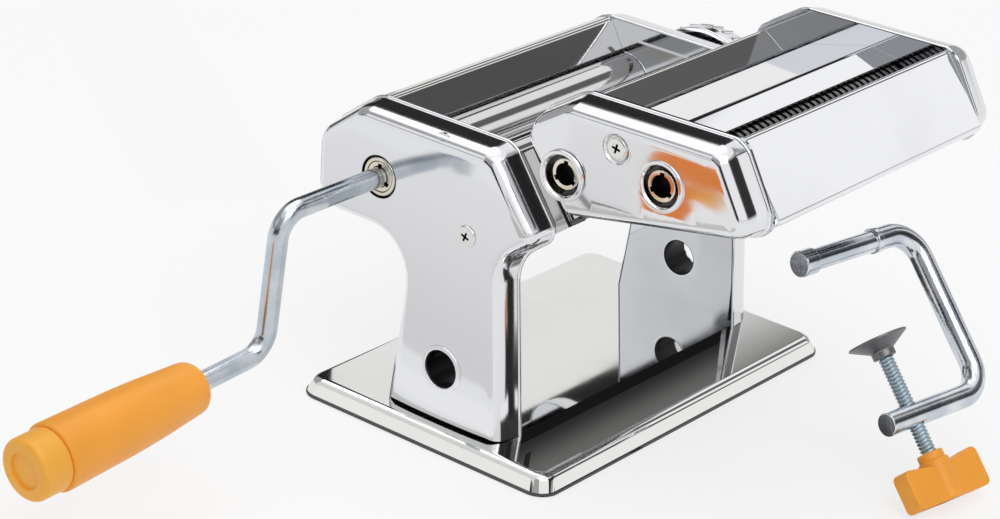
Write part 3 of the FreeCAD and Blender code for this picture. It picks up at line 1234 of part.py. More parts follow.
def make_cutter_sheets(follower):
    """The three sheets that lead the dough into the cutter rollers; follower is the last axis."""
    rear_top = (wide_y + CUTTER_REAR_SHEET_TOP_Y, wide_z + CUTTER_REAR_SHEET_TOP_Z)
    rear = [
        (wide_y + CUTTER_REAR_SHEET_FOOT_Y, wide_z + CUTTER_REAR_SHEET_FOOT_Z),
        rear_top,
        (rear_top[0] + CUTTER_REAR_SHEET_LIP_Y, rear_top[1] - CUTTER_REAR_SHEET_LIP_Z),
    ]
    centre = [
        (wide_y + RIDGE_REAR_Y, wide_z + RIDGE_REAR_Z),
        (narrow_y + RIDGE_Y, narrow_z + RIDGE_Z),
        (narrow_y + RIDGE_FRONT_Y, narrow_z + RIDGE_FRONT_Z),
    ]
    panel_foot = (front_bottom_y + PANEL_FOOT_Y, front_bottom_z + PANEL_FOOT_Z)
    front = [
        (follower[0] + PANEL_INNER_Y, follower[1] + PANEL_INNER_Z),
        (wide_y + CUTTER_FRONT_TOP_Y + PANEL_TOP_Y, wide_z + CUTTER_FRONT_TOP_Z + PANEL_TOP_Z),
        panel_foot,
        (panel_foot[0] + PANEL_LIP_Y, panel_foot[1] - PANEL_LIP_Z),
    ]
    sheets = {"cutter_rear_sheet": rear, "cutter_centre_sheet": centre, "cutter_front_panel": front}
    for name, line in sheets.items():
        parts[name] = bent_sheet(line, SHEET_THICKNESS, -cutter_frame_x, cutter_frame_x)


def clamp_place(along, height, out=0.0):
    """Place in the clamp's own plane: along its arms, up its screw, and out of the plane."""
    heading = math.radians(CLAMP_HEADING)
    lean = math.radians(CLAMP_LEAN)
    arm = vec(-math.cos(heading), math.sin(heading), 0)
    up = vec(math.sin(heading) * math.sin(lean), math.cos(heading) * math.sin(lean), math.cos(lean))
    side = arm.cross(up)
    stand = vec(CLAMP_STAND_X, CLAMP_STAND_Y, WING_HUB_RADIUS * math.sin(lean))
    return stand + arm * along + up * (height + WING_DROP) + side * out


def clamp_solid(solid):
    """Move a solid made along +X (arms) and +Z (screw) to where the clamp stands."""
    origin = clamp_place(0, 0)
    arm = clamp_place(1, 0) - origin
    side = clamp_place(0, 0, -1) - origin
    up = clamp_place(0, 1) - origin
    matrix = FreeCAD.Matrix(arm.x, side.x, up.x, origin.x, arm.y, side.y, up.y, origin.y,
                            arm.z, side.z, up.z, origin.z, 0, 0, 0, 1)
    return solid.transformed(matrix)


def make_clamp():
    """Table clamp: bent rod, screw with its wing knob, and the pressure disc."""
    neck_end = CLAMP_TOP_ARM
    shoulder = neck_end - CLAMP_NECK_LENGTH
    line = [vec(shoulder, 0, CLAMP_BACK_ARM), vec(0, 0, CLAMP_BACK_ARM), vec(0, 0, 0),
            vec(CLAMP_LOW_ARM, 0, 0)]
    pieces = [swept_rod(line, [0, CLAMP_BEND_RADIUS, CLAMP_BEND_RADIUS, 0], CLAMP_ROD_RADIUS)]
    for radius, start, length in (
            (CLAMP_SHOULDER_RADIUS, shoulder - CLAMP_SHOULDER_LENGTH, CLAMP_SHOULDER_LENGTH),
            (CLAMP_NECK_RADIUS, shoulder, CLAMP_NECK_LENGTH),
            (CLAMP_COLLAR_RADIUS, neck_end - CLAMP_COLLAR_LENGTH, CLAMP_COLLAR_LENGTH)):
        pieces.append(Part.makeCylinder(radius, length, vec(start, 0, CLAMP_BACK_ARM), vec(1, 0, 0)))
    hole = Part.makeCylinder(CLAMP_SCREW_RADIUS + CLAMP_SCREW_FIT, 4 * CLAMP_ROD_RADIUS,
                             vec(CLAMP_SCREW_OFFSET, 0, -2 * CLAMP_ROD_RADIUS))
    parts["clamp_rod"] = clamp_solid(fuse_all(pieces).cut(hole))

    socket_foot = DISC_HEIGHT - PRESSURE_DISC_DISH - DISC_SOCKET_LENGTH + 1.0
    tip = socket_foot + DISC_SOCKET_LENGTH - PRESSURE_DISC_SHEET - DISC_PLAY
    screw_foot = -WING_DROP + WING_HEIGHT / 2
    shank = Part.makeCylinder(CLAMP_SCREW_RADIUS, tip - screw_foot, vec(CLAMP_SCREW_OFFSET, 0, screw_foot))
    parts["clamp_screw"] = clamp_solid(shank)

    dish_top = DISC_HEIGHT
    dish_low = DISC_HEIGHT - PRESSURE_DISC_DISH
    bore = CLAMP_SCREW_RADIUS + CLAMP_SCREW_FIT
    roof = socket_foot + DISC_SOCKET_LENGTH - PRESSURE_DISC_SHEET
    profile = [(socket_foot, bore), (socket_foot, DISC_SOCKET_RADIUS), (dish_low, DISC_SOCKET_RADIUS),
               (dish_top, PRESSURE_DISC_RADIUS), (dish_top + PRESSURE_DISC_SHEET, PRESSURE_DISC_RADIUS),
               (dish_low + PRESSURE_DISC_SHEET, DISC_SOCKET_RADIUS), (roof + PRESSURE_DISC_SHEET, 0),
               (roof, 0), (roof, bore)]
    disc = revolved([(height, radius, 0) for height, radius in profile],
                    vec(CLAMP_SCREW_OFFSET, 0, 0), vec(0, 0, 1))
    parts["pressure_disc"] = clamp_solid(disc)

    low = -WING_DROP
    high = low + WING_HEIGHT
    half = WING_WIDTH / 2
    side_shift = CLAMP_SCREW_OFFSET
    outline = [(side_shift - half, low, WING_CORNER_RADIUS), (side_shift + half, low, WING_CORNER_RADIUS),
               (side_shift + half, high, WING_CORNER_RADIUS), (side_shift, high - WING_WAIST, 0),
               (side_shift - half, high, WING_CORNER_RADIUS)]
    points = [vec(along, -WING_THICKNESS / 2, height) for along, height, radius in outline]
    edges = rounded_edges(points, [radius for along, height, radius in outline], True)
    wing = Part.Face(Part.Wire(Part.__sortEdges__(edges))).extrude(vec(0, WING_THICKNESS, 0))
    hub_height = WING_HEIGHT + WING_HUB_RISE
    hub = Part.makeCylinder(WING_HUB_RADIUS, hub_height, vec(side_shift, 0, low))
    hollow = Part.makeCylinder(CLAMP_SCREW_RADIUS, hub_height, vec(side_shift, 0, screw_foot))
    parts["wing_knob"] = clamp_solid(fuse_all([wing, hub]).cut(hollow))


def main():
    """Build every piece and write one file for each."""
    os.makedirs("parts", exist_ok=True)
    make_base()
    make_housing()
    make_tie_rods()
    make_fixed_roller()
    make_adjustable_roller()
    make_dial()
    make_crank()
    make_hopper()
    make_cutters()
    make_cutter_housing()
    make_clamp()
    for name, shape in parts.items():
        shape.exportStep("parts/" + name + ".step")
    print(len(parts), "parts written")


main()
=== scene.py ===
"""Looks of a hand cranked pasta machine with a cutter attachment and a table clamp.

Sizes are in millimetres, as in the part's source. A piece is modelled in millimetres in the
frame of the part and becomes metres when it is finished.
"""
import json
import logging
import math
from contextlib import contextmanager
from dataclasses import dataclass, field
from enum import Enum
from typing import Callable, Iterator, Optional, Sequence, Union

import bmesh
import bpy
from mathutils import Matrix, Vector


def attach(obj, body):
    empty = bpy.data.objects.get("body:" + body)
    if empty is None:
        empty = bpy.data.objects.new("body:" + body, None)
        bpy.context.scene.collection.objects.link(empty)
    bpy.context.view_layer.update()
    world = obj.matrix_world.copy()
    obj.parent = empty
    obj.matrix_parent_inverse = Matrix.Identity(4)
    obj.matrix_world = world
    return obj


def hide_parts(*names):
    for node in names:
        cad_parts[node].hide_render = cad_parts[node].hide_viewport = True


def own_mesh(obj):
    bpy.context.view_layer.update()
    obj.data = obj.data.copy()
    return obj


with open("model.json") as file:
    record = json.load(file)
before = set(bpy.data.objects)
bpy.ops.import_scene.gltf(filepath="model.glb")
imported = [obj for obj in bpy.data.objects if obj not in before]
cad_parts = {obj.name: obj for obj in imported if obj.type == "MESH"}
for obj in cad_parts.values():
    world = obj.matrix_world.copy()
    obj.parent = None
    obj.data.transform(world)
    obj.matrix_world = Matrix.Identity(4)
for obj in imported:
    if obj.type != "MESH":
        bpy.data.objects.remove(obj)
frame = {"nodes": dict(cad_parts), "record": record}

log = logging.getLogger("pasta_machine")

MM = 0.001
Colour = tuple[float, float, float]
Corner = tuple[float, float, float]
Number = Union[float, "Signal"]


class Pick(Enum):
    """What is selected in edit mode."""

    VERTS = "VERT"
    EDGES = "EDGE"
    FACES = "FACE"


class Signal:
    """An output socket whose sums and products add Math nodes to its graph."""

    def __init__(self, graph: "Graph", socket: bpy.types.NodeSocket) -> None:
        """Keeps the graph and the socket.

        Args:
            graph: The graph that new nodes go to.
            socket: The output that holds the value.
        """
        self.graph = graph
        self.socket = socket

    def maths(self, operation: str, *others: Number, swap: bool = False) -> "Signal":
        """Adds one Math node.

        Args:
            operation: The node's operation.
            others: The other operands, numbers or signals.
            swap: Whether this value comes second.

        Returns:
            The node's value.
        """
        operands = [self, *others]
        if swap:
            operands.reverse()
        node = self.graph.node("ShaderNodeMath", {"operation": operation}, dict(enumerate(operands)))
        return Signal(self.graph, node.outputs[0])

    def __add__(self, other: Number) -> "Signal":
        """This plus the other."""
        return self.maths("ADD", other)

    def __radd__(self, other: Number) -> "Signal":
        """The other plus this."""
        return self.maths("ADD", other)

    def __sub__(self, other: Number) -> "Signal":
        """This less the other."""
        return self.maths("SUBTRACT", other)

    def __rsub__(self, other: Number) -> "Signal":
        """The other less this."""
        return self.maths("SUBTRACT", other, swap=True)

    def __mul__(self, other: Number) -> "Signal":
        """This times the other."""
        return self.maths("MULTIPLY", other)

    def __rmul__(self, other: Number) -> "Signal":
        """The other times this."""
        return self.maths("MULTIPLY", other)

    def between(self, low: float, high: float) -> "Signal":
        """Rises smoothly from 0 at low to 1 at high.

        Args:
            low: Where the step begins.
            high: Where it ends.

        Returns:
            The smooth step.
        """
        node = self.graph.node("ShaderNodeMapRange", {"interpolation_type": "SMOOTHSTEP"},
                               {"Value": self, "From Min": low, "From Max": high})
        return Signal(self.graph, node.outputs["Result"])


class Graph:
    """The nodes of one material or world."""

    def __init__(self, owner: Union[bpy.types.Material, bpy.types.World]) -> None:
        """Empties the owner's node tree.

        Args:
            owner: The material or world that gets the nodes.
        """
        owner.use_nodes = True
        self.tree = owner.node_tree
        self.tree.nodes.clear()

    def node(self, kind: str, settings: dict, inputs: dict) -> bpy.types.Node:
        """Adds a node, sets it up and then fills its sockets.

        Args:
            kind: The node's type.
            settings: Its properties; "stops" are the (place, colour) stops of a ramp.
            inputs: Values, signals or output sockets by socket name or number.

        Returns:
            The new node.
        """
        node = self.tree.nodes.new(kind)
        for name, value in settings.items():
            if name == "stops":
                self.fill_ramp(node, value)
            else:
                setattr(node, name, value)
        for name, value in inputs.items():
            source = value.socket if isinstance(value, Signal) else value
            if isinstance(source, bpy.types.NodeSocket):
                self.tree.links.new(source, node.inputs[name])
            else:
                node.inputs[name].default_value = source
        return node

    def fill_ramp(self, node: bpy.types.Node, stops: Sequence[tuple[float, Colour]]) -> None:
        """Writes the stops of a colour ramp."""
        elements = node.color_ramp.elements
        while len(elements) < len(stops):
            elements.new(1.0)
        for element, (place, colour) in zip(elements, stops):
            element.position = place
            element.color = (*colour, 1.0)

    def signal(self, kind: str, settings: dict, inputs: dict, output: str) -> Signal:
        """Adds a node and gives one of its outputs."""
        return Signal(self, self.node(kind, settings, inputs).outputs[output])

    def place(self, scale: tuple[float, float, float] = (1.0, 1.0, 1.0)) -> bpy.types.NodeSocket:
        """Object coordinates, stretched by the scale."""
        coordinates = self.node("ShaderNodeTexCoord", {}, {})
        mapping = self.node("ShaderNodeMapping", {}, {"Vector": coordinates.outputs["Object"], "Scale": scale})
        return mapping.outputs["Vector"]

    def noise(self, scale: float, detail: float = 2.0,
              stretch: tuple[float, float, float] = (1.0, 1.0, 1.0)) -> Signal:
        """Noise about 0.5 on the piece.

        Args:
            scale: Features per metre.
            detail: Octaves.
            stretch: Factors along the axes; a small one draws the noise out.

        Returns:
            The noise.
        """
        return self.signal("ShaderNodeTexNoise", {}, {"Vector": self.place(stretch), "Scale": scale,
                                                      "Detail": detail}, "Fac")

    def blend(self, factor: Number, first: Colour, second: Union[Colour, bpy.types.NodeSocket]) -> bpy.types.NodeSocket:
        """Colour between two, by the factor."""
        def full(colour: Union[Colour, bpy.types.NodeSocket]) -> object:
            """Adds the alpha to a plain colour."""
            return colour if isinstance(colour, bpy.types.NodeSocket) else (*colour, 1.0)
        node = self.node("ShaderNodeMix", {"data_type": "RGBA"},
                         {"Factor": factor, 6: full(first), 7: full(second)})
        return node.outputs[2]

    def bump(self, height: Signal, distance: float, strength: float = 1.0) -> bpy.types.NodeSocket:
        """Normal of a surface raised by the height times the distance in metres."""
        node = self.node("ShaderNodeBump", {}, {"Height": height, "Distance": distance, "Strength": strength})
        return node.outputs["Normal"]

    def surface(self, inputs: dict) -> None:
        """Principled surface with these sockets, joined to the output."""
        shader = self.node("ShaderNodeBsdfPrincipled", {}, inputs)
        self.node("ShaderNodeOutputMaterial", {}, {"Surface": shader.outputs["BSDF"]})


@dataclass(frozen=True)
class Finish:
    """A surface finish; each kind writes its own nodes."""

    name: str
    colour: Colour

    def paint(self, graph: Graph) -> None:
        """Writes the finish's nodes."""
        raise NotImplementedError

    def material(self) -> bpy.types.Material:
        """The finish's material, made once."""
        found = bpy.data.materials.get(self.name)
        if found:
            return found
        made = bpy.data.materials.new(self.name)
        self.paint(Graph(made))
        return made


@dataclass(frozen=True)
class PolishedMetal(Finish):
    """Mirror bright plated or rolled sheet, with faint smears and the slight waves of pressing."""

    roughness: float = 0.03
    smear: float = 0.05
    wave: float = 0.00002

    def paint(self, graph: Graph) -> None:
        """Writes the finish's nodes."""
        smears = graph.noise(22.0, 5.0).between(0.45, 0.8)
        waves = graph.noise(14.0, 1.0)
        graph.surface({
            "Base Color": graph.blend(smears, self.colour, tuple(0.94 * part for part in self.colour)),
            "Metallic": 1.0,
            "Roughness": self.roughness + smears * self.smear,
            "Normal": graph.bump(waves, self.wave),
        })


@dataclass(frozen=True)
class BrushedMetal(Finish):
    """Rolled or turned metal with fine lines along X."""

    roughness: float = 0.22
    lines: float = 0.000015

    def paint(self, graph: Graph) -> None:
        """Writes the finish's nodes."""
        strokes = graph.noise(900.0, 3.0, (0.02, 1.0, 1.0))
        patches = graph.noise(30.0, 3.0)
        graph.surface({
            "Base Color": graph.blend(patches.between(0.3, 0.7), self.colour, tuple(0.86 * part for part in self.colour)),
            "Metallic": 1.0,
            "Roughness": self.roughness + (strokes - 0.5) * 0.12,
            "Normal": graph.bump(strokes, self.lines),
        })


@dataclass(frozen=True)
class ZincPlate(Finish):
    """Bright zinc on drawn bar: bluish, with cloudy patches and fine pits."""

    roughness: float = 0.2
    pits: float = 0.00004

    def paint(self, graph: Graph) -> None:
        """Writes the finish's nodes."""
        clouds = graph.noise(60.0, 4.0)
        grain = graph.noise(900.0, 2.0)
        darker = tuple(part * shade for part, shade in zip(self.colour, (0.72, 0.76, 0.8)))
        graph.surface({
            "Base Color": graph.blend(clouds.between(0.35, 0.65), darker, self.colour),
            "Metallic": 1.0,
            "Roughness": self.roughness + (clouds - 0.5) * 0.2,
            "Normal": graph.bump(grain + clouds * 2.0, self.pits),
        })


@dataclass(frozen=True)
class MouldedPlastic(Finish):
    """Moulded plastic with a faint mottle and a fine sparked texture."""

    roughness: float = 0.42
    grain: float = 0.00003

    def paint(self, graph: Graph) -> None:
        """Writes the finish's nodes."""
        mottle = graph.noise(35.0, 3.0)
        spark = graph.noise(1600.0, 2.0)
        graph.surface({
            "Base Color": graph.blend(mottle.between(0.3, 0.7), self.colour, tuple(0.93 * part for part in self.colour)),
            "Roughness": self.roughness + (mottle - 0.5) * 0.12,
            "Normal": graph.bump(spark, self.grain),
        })


@dataclass(frozen=True)
class FloorPaper(Finish):
    """Pale floor that mirrors and the camera see nearly white, with the object's soft shadow."""

    glow: float = 0.6

    def paint(self, graph: Graph) -> None:
        """Writes the finish's nodes."""
        paths = graph.node("ShaderNodeLightPath", {}, {})
        seen = Signal(graph, paths.outputs["Is Camera Ray"]) + Signal(graph, paths.outputs["Is Glossy Ray"])
        fibres = graph.noise(400.0, 2.0)
        paper = graph.node("ShaderNodeBsdfPrincipled", {}, {
            "Base Color": (*self.colour, 1.0), "Roughness": 0.9, "Normal": graph.bump(fibres, 0.00002)})
        light = graph.node("ShaderNodeEmission", {}, {"Color": (1.0, 1.0, 1.0, 1.0), "Strength": 1.0})
        mixed = graph.node("ShaderNodeMixShader", {}, {
            "Fac": seen.maths("MINIMUM", 1.0) * self.glow, 1: paper.outputs["BSDF"], 2: light.outputs["Emission"]})
        graph.node("ShaderNodeOutputMaterial", {}, {"Surface": mixed.outputs["Shader"]})


@dataclass(frozen=True)
class CardPaper(Finish):
    """Studio card that glows evenly, or from one tone at its foot to another at its top."""

    low: float
    high: float
    reach: tuple[float, float]

    def paint(self, graph: Graph) -> None:
        """Builds the card's nodes."""
        coordinates = graph.node("ShaderNodeTexCoord", {}, {}).outputs["Object"]
        height = Signal(graph, graph.node("ShaderNodeSeparateXYZ", {}, {"Vector": coordinates}).outputs["Z"])
        tone = height.between(*self.reach) * (self.high - self.low) + self.low
        light = graph.node("ShaderNodeEmission", {}, {"Color": (*self.colour, 1.0), "Strength": tone})
        graph.node("ShaderNodeOutputMaterial", {}, {"Surface": light.outputs["Emission"]})


CHROME = PolishedMetal("chrome", (0.84, 0.845, 0.86), 0.01, 0.006, 0.000006)
BASE_CHROME = PolishedMetal("base_chrome", (0.8, 0.8, 0.79), 0.03, 0.03, 0.000012)
NICKEL = PolishedMetal("nickel", (0.74, 0.7, 0.6), 0.12, 0.1)
PANEL_CHROME = PolishedMetal("panel_chrome", (0.86, 0.865, 0.89), 0.05, 0.03, 0.000008)
SHEET_STEEL = PolishedMetal("sheet_steel", (0.7, 0.69, 0.68), 0.07, 0.05)
ROLLER_STEEL = BrushedMetal("roller_steel", (0.56, 0.56, 0.5), 0.2, 0.000008)
FRAME_STEEL = PolishedMetal("frame_steel", (0.7, 0.72, 0.76), 0.05, 0.06)
CUTTER_STEEL = BrushedMetal("cutter_steel", (0.2, 0.2, 0.2), 0.3)
GEAR_STEEL = BrushedMetal("gear_steel", (0.5, 0.5, 0.5), 0.28)
CRANK_ZINC = ZincPlate("crank_zinc", (0.62, 0.66, 0.7))
CLAMP_ZINC = ZincPlate("clamp_zinc", (0.74, 0.76, 0.8), 0.16)
SCREW_ZINC = ZincPlate("screw_zinc", (0.4, 0.5, 0.56), 0.25)
DISC_STEEL = ZincPlate("disc_steel", (0.3, 0.28, 0.28), 0.45, 0.00012)
ORANGE = MouldedPlastic("orange", (1.0, 0.4, 0.035))
CAP_ORANGE = MouldedPlastic("cap_orange", (1.0, 0.47, 0.05))
NICKEL_WHITE = PolishedMetal("nickel_white", (0.8, 0.8, 0.78), 0.1, 0.06)
# Near-black finish painted as shade inside holes, bores and screw recesses.
PAINTED_HOLE_SHADE = PolishedMetal("painted_hole_shade", (0.03, 0.03, 0.033), 0.35, 0.1)
# Near-black steel for the band round the base's foot: painted shade of the gap under the tray.
PAINTED_SHADE_STEEL = PolishedMetal("painted_shade_steel", (0.09, 0.09, 0.095), 0.25, 0.1)
ENAMEL = MouldedPlastic("enamel", (0.02, 0.02, 0.022), 0.3)
NYLON = MouldedPlastic("nylon", (0.86, 0.86, 0.82))
RUBBER = MouldedPlastic("rubber", (0.02, 0.02, 0.02), 0.75)

FINISH_OF_SLOT = {
    "chrome": CHROME, "steel_sheet": SHEET_STEEL, "roller_steel": ROLLER_STEEL, "gear_steel": GEAR_STEEL,
    "zinc_steel": CLAMP_ZINC, "screw_zinc": SCREW_ZINC, "dark_steel": DISC_STEEL, "orange_plastic": ORANGE,
    "orange_cap": CAP_ORANGE, "nylon": NYLON, "rubber": RUBBER,
}
FINISH_OF_NODE = {
    "crank_side_frame": FRAME_STEEL, "dial_side_frame": FRAME_STEEL, "cutter_crank_frame": FRAME_STEEL,
    "cutter_dial_frame": FRAME_STEEL, "crank_rod": CRANK_ZINC,
}


class Bench:
    """Modelling steps as made by hand: primitives, edit mode operators, applied modifiers."""

    @staticmethod
    def clear() -> None:
        """Deselects everything."""
        bpy.ops.object.select_all(action="DESELECT")

    @staticmethod
    def activate(piece: bpy.types.Object) -> None:
        """Selects one piece alone and makes it active."""
        Bench.clear()
        piece.hide_set(False)
        piece.select_set(True)
        bpy.context.view_layer.objects.active = piece

    @staticmethod
    def adopt(name: str) -> bpy.types.Object:
        """Names the primitive just added, and applies its place."""
        piece = bpy.context.object
        piece.name = name
        piece.data.name = name
        Bench.activate(piece)
        bpy.ops.object.transform_apply(location=True, rotation=True, scale=True)
        return piece

    @staticmethod
    @contextmanager
    def editing(piece: bpy.types.Object) -> Iterator[None]:
        """Edit mode on one piece."""
        Bench.activate(piece)
        bpy.ops.object.mode_set(mode="EDIT")
        yield
        bpy.ops.object.mode_set(mode="OBJECT")

    @staticmethod
    def pick(piece: bpy.types.Object, kind: Pick, test: Callable[[object], bool]) -> int:
        """Selects in edit mode what passes the test, and nothing else.

        Args:
            piece: The piece in edit mode.
            kind: What is selected.
            test: Is given each element.

        Returns:
            How many are selected.
        """
        bpy.ops.mesh.select_mode(type=kind.value)
        bpy.ops.mesh.select_all(action="DESELECT")
        mesh = bmesh.from_edit_mesh(piece.data)
        elements = {Pick.VERTS: mesh.verts, Pick.EDGES: mesh.edges, Pick.FACES: mesh.faces}[kind]
        chosen = [element for element in elements if test(element)]
        for element in chosen:
            element.select_set(True)
        bmesh.update_edit_mesh(piece.data)
        return len(chosen)

    @staticmethod
    def outline(name: str, corners: Sequence[Corner], x: float, segments: int = 10) -> bpy.types.Object:
        """Flat face in the plane at x with rounded corners.

        Args:
            name: The piece's name.
            corners: (y, z, radius) of each corner.
            x: Where the plane stands.
            segments: Steps of each rounding.

        Returns:
            The face as a piece.
        """
        Bench.clear()
        bpy.ops.mesh.primitive_circle_add(vertices=len(corners), radius=1.0, fill_type="NGON")
        piece = Bench.adopt(name)
        with Bench.editing(piece):
            for index, (y, z, radius) in enumerate(corners):
                Bench.pick(piece, Pick.VERTS, lambda vert: vert.index == index)
                now = bmesh.from_edit_mesh(piece.data).verts
                now.ensure_lookup_table()
                bpy.ops.transform.translate(value=Vector((x, y, z)) - now[index].co)
            count = len(corners)
            for index, (y, z, radius) in enumerate(corners):
                if radius <= 0:
                    continue
                corner = Vector((x, y, z))
                before = Vector((x, *corners[index - 1][:2])) - corner
                after = Vector((x, *corners[(index + 1) % count][:2])) - corner
                run = radius / math.tan(before.angle(after) / 2)
                Bench.pick(piece, Pick.VERTS, lambda vert: (vert.co - corner).length < 0.01)
                bpy.ops.mesh.bevel(offset=run, offset_type="OFFSET", affect="VERTICES", segments=segments,
                                   profile=0.5, clamp_overlap=False)
        return piece

    @staticmethod
    def extrude(piece: bpy.types.Object, move: tuple[float, float, float]) -> None:
        """Extrudes the selected faces along a line, in edit mode."""
        bpy.ops.mesh.extrude_region_move(TRANSFORM_OT_translate={"value": move})

    @staticmethod
    def face_outwards(piece: bpy.types.Object, merge: float = 0.002) -> None:
        """Merges what coincides and turns all faces outwards."""
        with Bench.editing(piece):
            bpy.ops.mesh.select_all(action="SELECT")
            bpy.ops.mesh.remove_doubles(threshold=merge)
            bpy.ops.mesh.normals_make_consistent(inside=False)

    @staticmethod
    def modify(piece: bpy.types.Object, kind: str, settings: dict) -> None:
        """Adds a modifier and applies it."""
        Bench.activate(piece)
        modifier = piece.modifiers.new(kind.title(), kind)
        for name, value in settings.items():
            setattr(modifier, name, value)
        bpy.ops.object.modifier_apply(modifier=modifier.name)

    @staticmethod
    def thicken(piece: bpy.types.Object, thickness: float) -> None:
        """Gives an open shell a wall towards its inside."""
        Bench.modify(piece, "SOLIDIFY", {"thickness": thickness, "offset": -1.0, "use_even_offset": True})

    @staticmethod
    def cut(piece: bpy.types.Object, tool: bpy.types.Object, keep: bool = False) -> None:
        """Cuts the tool out of the piece.

        Args:
            piece: What is cut.
            tool: The cutter.
            keep: Whether the cutter is used again.
        """
        Bench.modify(piece, "BOOLEAN", {"operation": "DIFFERENCE", "solver": "EXACT", "object": tool})
        if not keep:
            bpy.data.objects.remove(tool)

    @staticmethod
    def round_edges(piece: bpy.types.Object, width: float, segments: int = 2, angle: float = 40.0) -> None:
        """Rounds every sharp edge a little."""
        Bench.modify(piece, "BEVEL", {"width": width, "segments": segments, "limit_method": "ANGLE",
                                      "angle_limit": math.radians(angle), "use_clamp_overlap": True,
                                      "harden_normals": False})

    @staticmethod
    def drum(name: str, x0: float, x1: float, radius: float, y: float, z: float,
             sides: int = 64) -> bpy.types.Object:
        """Closed cylinder along X."""
        Bench.clear()
        bpy.ops.mesh.primitive_cylinder_add(vertices=sides, radius=radius, depth=x1 - x0,
                                            location=((x0 + x1) / 2, y, z), rotation=(0.0, math.pi / 2, 0.0))
        return Bench.adopt(name)

    @staticmethod
    def lathe(name: str, section: Sequence[Corner], steps: int = 72, segments: int = 6) -> bpy.types.Object:
        """Turned piece about the X axis.

        Args:
            name: The piece's name.
            section: (along, radius, rounding) of each corner of the closed section.
            steps: Steps of the full turn.
            segments: Steps of each rounding.

        Returns:
            The closed piece.
        """
        piece = Bench.outline(name, [(along, reach, rounding) for along, reach, rounding in section], 0.0, segments)
        Bench.change(piece, Matrix(((0, 1, 0, 0), (0, 0, 1, 0), (1, 0, 0, 0), (0, 0, 0, 1))))
        with Bench.editing(piece):
            bpy.ops.mesh.select_all(action="SELECT")
            bpy.ops.mesh.delete(type="ONLY_FACE")
            Bench.pick(piece, Pick.EDGES, lambda edge: all(abs(end.co.y) < 1e-4 for end in edge.verts))
            bpy.ops.mesh.delete(type="EDGE")
            bpy.ops.mesh.select_all(action="SELECT")
            bpy.ops.mesh.spin(steps=steps, angle=2 * math.pi, center=(0, 0, 0), axis=(1, 0, 0), dupli=False)
        Bench.face_outwards(piece)
        return piece

    @staticmethod
    def strip(name: str, line: Sequence[tuple[float, float]], x0: float, x1: float, thickness: float,
              bend: float = 1.5) -> bpy.types.Object:
        """Bent sheet between x0 and x1.

        Args:
            name: The piece's name.
            line: (y, z) points of its middle line.
            x0: One end.
            x1: The other end.
            thickness: The sheet's thickness.
            bend: Radius of its bends.

        Returns:
            The sheet with rounded edges.
        """
        Bench.clear()
        bpy.ops.mesh.primitive_circle_add(vertices=max(len(line), 3), radius=1.0, fill_type="NOTHING")
        piece = Bench.adopt(name)
        with Bench.editing(piece):
            ends = {0, len(line) - 1}
            Bench.pick(piece, Pick.EDGES, lambda edge: {end.index for end in edge.verts} == ends)
            bpy.ops.mesh.delete(type="EDGE_FACE")
            for index, (y, z) in enumerate(line):
                Bench.pick(piece, Pick.VERTS, lambda vert: vert.index == index)
                now = bmesh.from_edit_mesh(piece.data).verts
                now.ensure_lookup_table()
                bpy.ops.transform.translate(value=Vector((x0, y, z)) - now[index].co)
            bpy.ops.mesh.select_all(action="SELECT")
            Bench.extrude(piece, (x1 - x0, 0.0, 0.0))
            Bench.pick(piece, Pick.EDGES, lambda edge: len(edge.link_faces) == 2)
            bpy.ops.mesh.bevel(offset=bend, segments=4, profile=0.5, affect="EDGES", clamp_overlap=False)
            bpy.ops.mesh.select_all(action="SELECT")
            bpy.ops.mesh.normals_make_consistent(inside=False)
        Bench.modify(piece, "SOLIDIFY", {"thickness": thickness, "offset": 0.0, "use_even_offset": True})
        Bench.round_edges(piece, 0.25, 2, 60.0)
        return piece

    @staticmethod
    def rod(name: str, radius: float, points: Sequence[Vector], bend: float, sides: int = 48,
            steps: int = 14) -> bpy.types.Object:
        """Round bar along straight runs joined by bends.

        Args:
            name: The piece's name.
            radius: The bar's radius.
            points: Its ends and the corners between them.
            bend: Radius of every bend's middle line.
            sides: Facets round the bar.
            steps: Steps of each bend.

        Returns:
            The closed bar with chamfered ends.
        """
        Bench.clear()
        first = (points[1] - points[0]).normalized()
        bpy.ops.mesh.primitive_circle_add(vertices=sides, radius=radius, fill_type="NOTHING", location=points[0],
                                          rotation=first.to_track_quat("Z", "Y").to_euler())
        piece = Bench.adopt(name)
        at = points[0]
        with Bench.editing(piece):
            Bench.pick(piece, Pick.EDGES, lambda edge: True)
            for index in range(1, len(points)):
                corner = points[index]
                into = (corner - points[index - 1]).normalized()
                if index == len(points) - 1:
                    Bench.extrude(piece, corner - at)
                    break
                out = (points[index + 1] - corner).normalized()
                turn = into.angle(out)
                run = bend * math.tan(turn / 2)
                Bench.extrude(piece, corner - into * run - at)
                axis = into.cross(out).normalized()
                bpy.ops.mesh.spin(steps=steps, angle=-turn, axis=axis,
                                  center=corner - into * run + axis.cross(into) * bend)
                at = corner + out * run
            bpy.ops.mesh.select_all(action="SELECT")
            bpy.ops.mesh.fill_holes(sides=0)
        Bench.face_outwards(piece)
        Bench.round_edges(piece, 0.5, 2, 50.0)
        return piece

    @staticmethod
    def block(name: str, low: Sequence[float], high: Sequence[float]) -> bpy.types.Object:
        """Box between two corners, the start of a cutter or a bar."""
        Bench.clear()
        bpy.ops.mesh.primitive_cube_add(size=1.0, location=[(a + b) / 2 for a, b in zip(low, high)],
                                        scale=[b - a for a, b in zip(low, high)])
        return Bench.adopt(name)

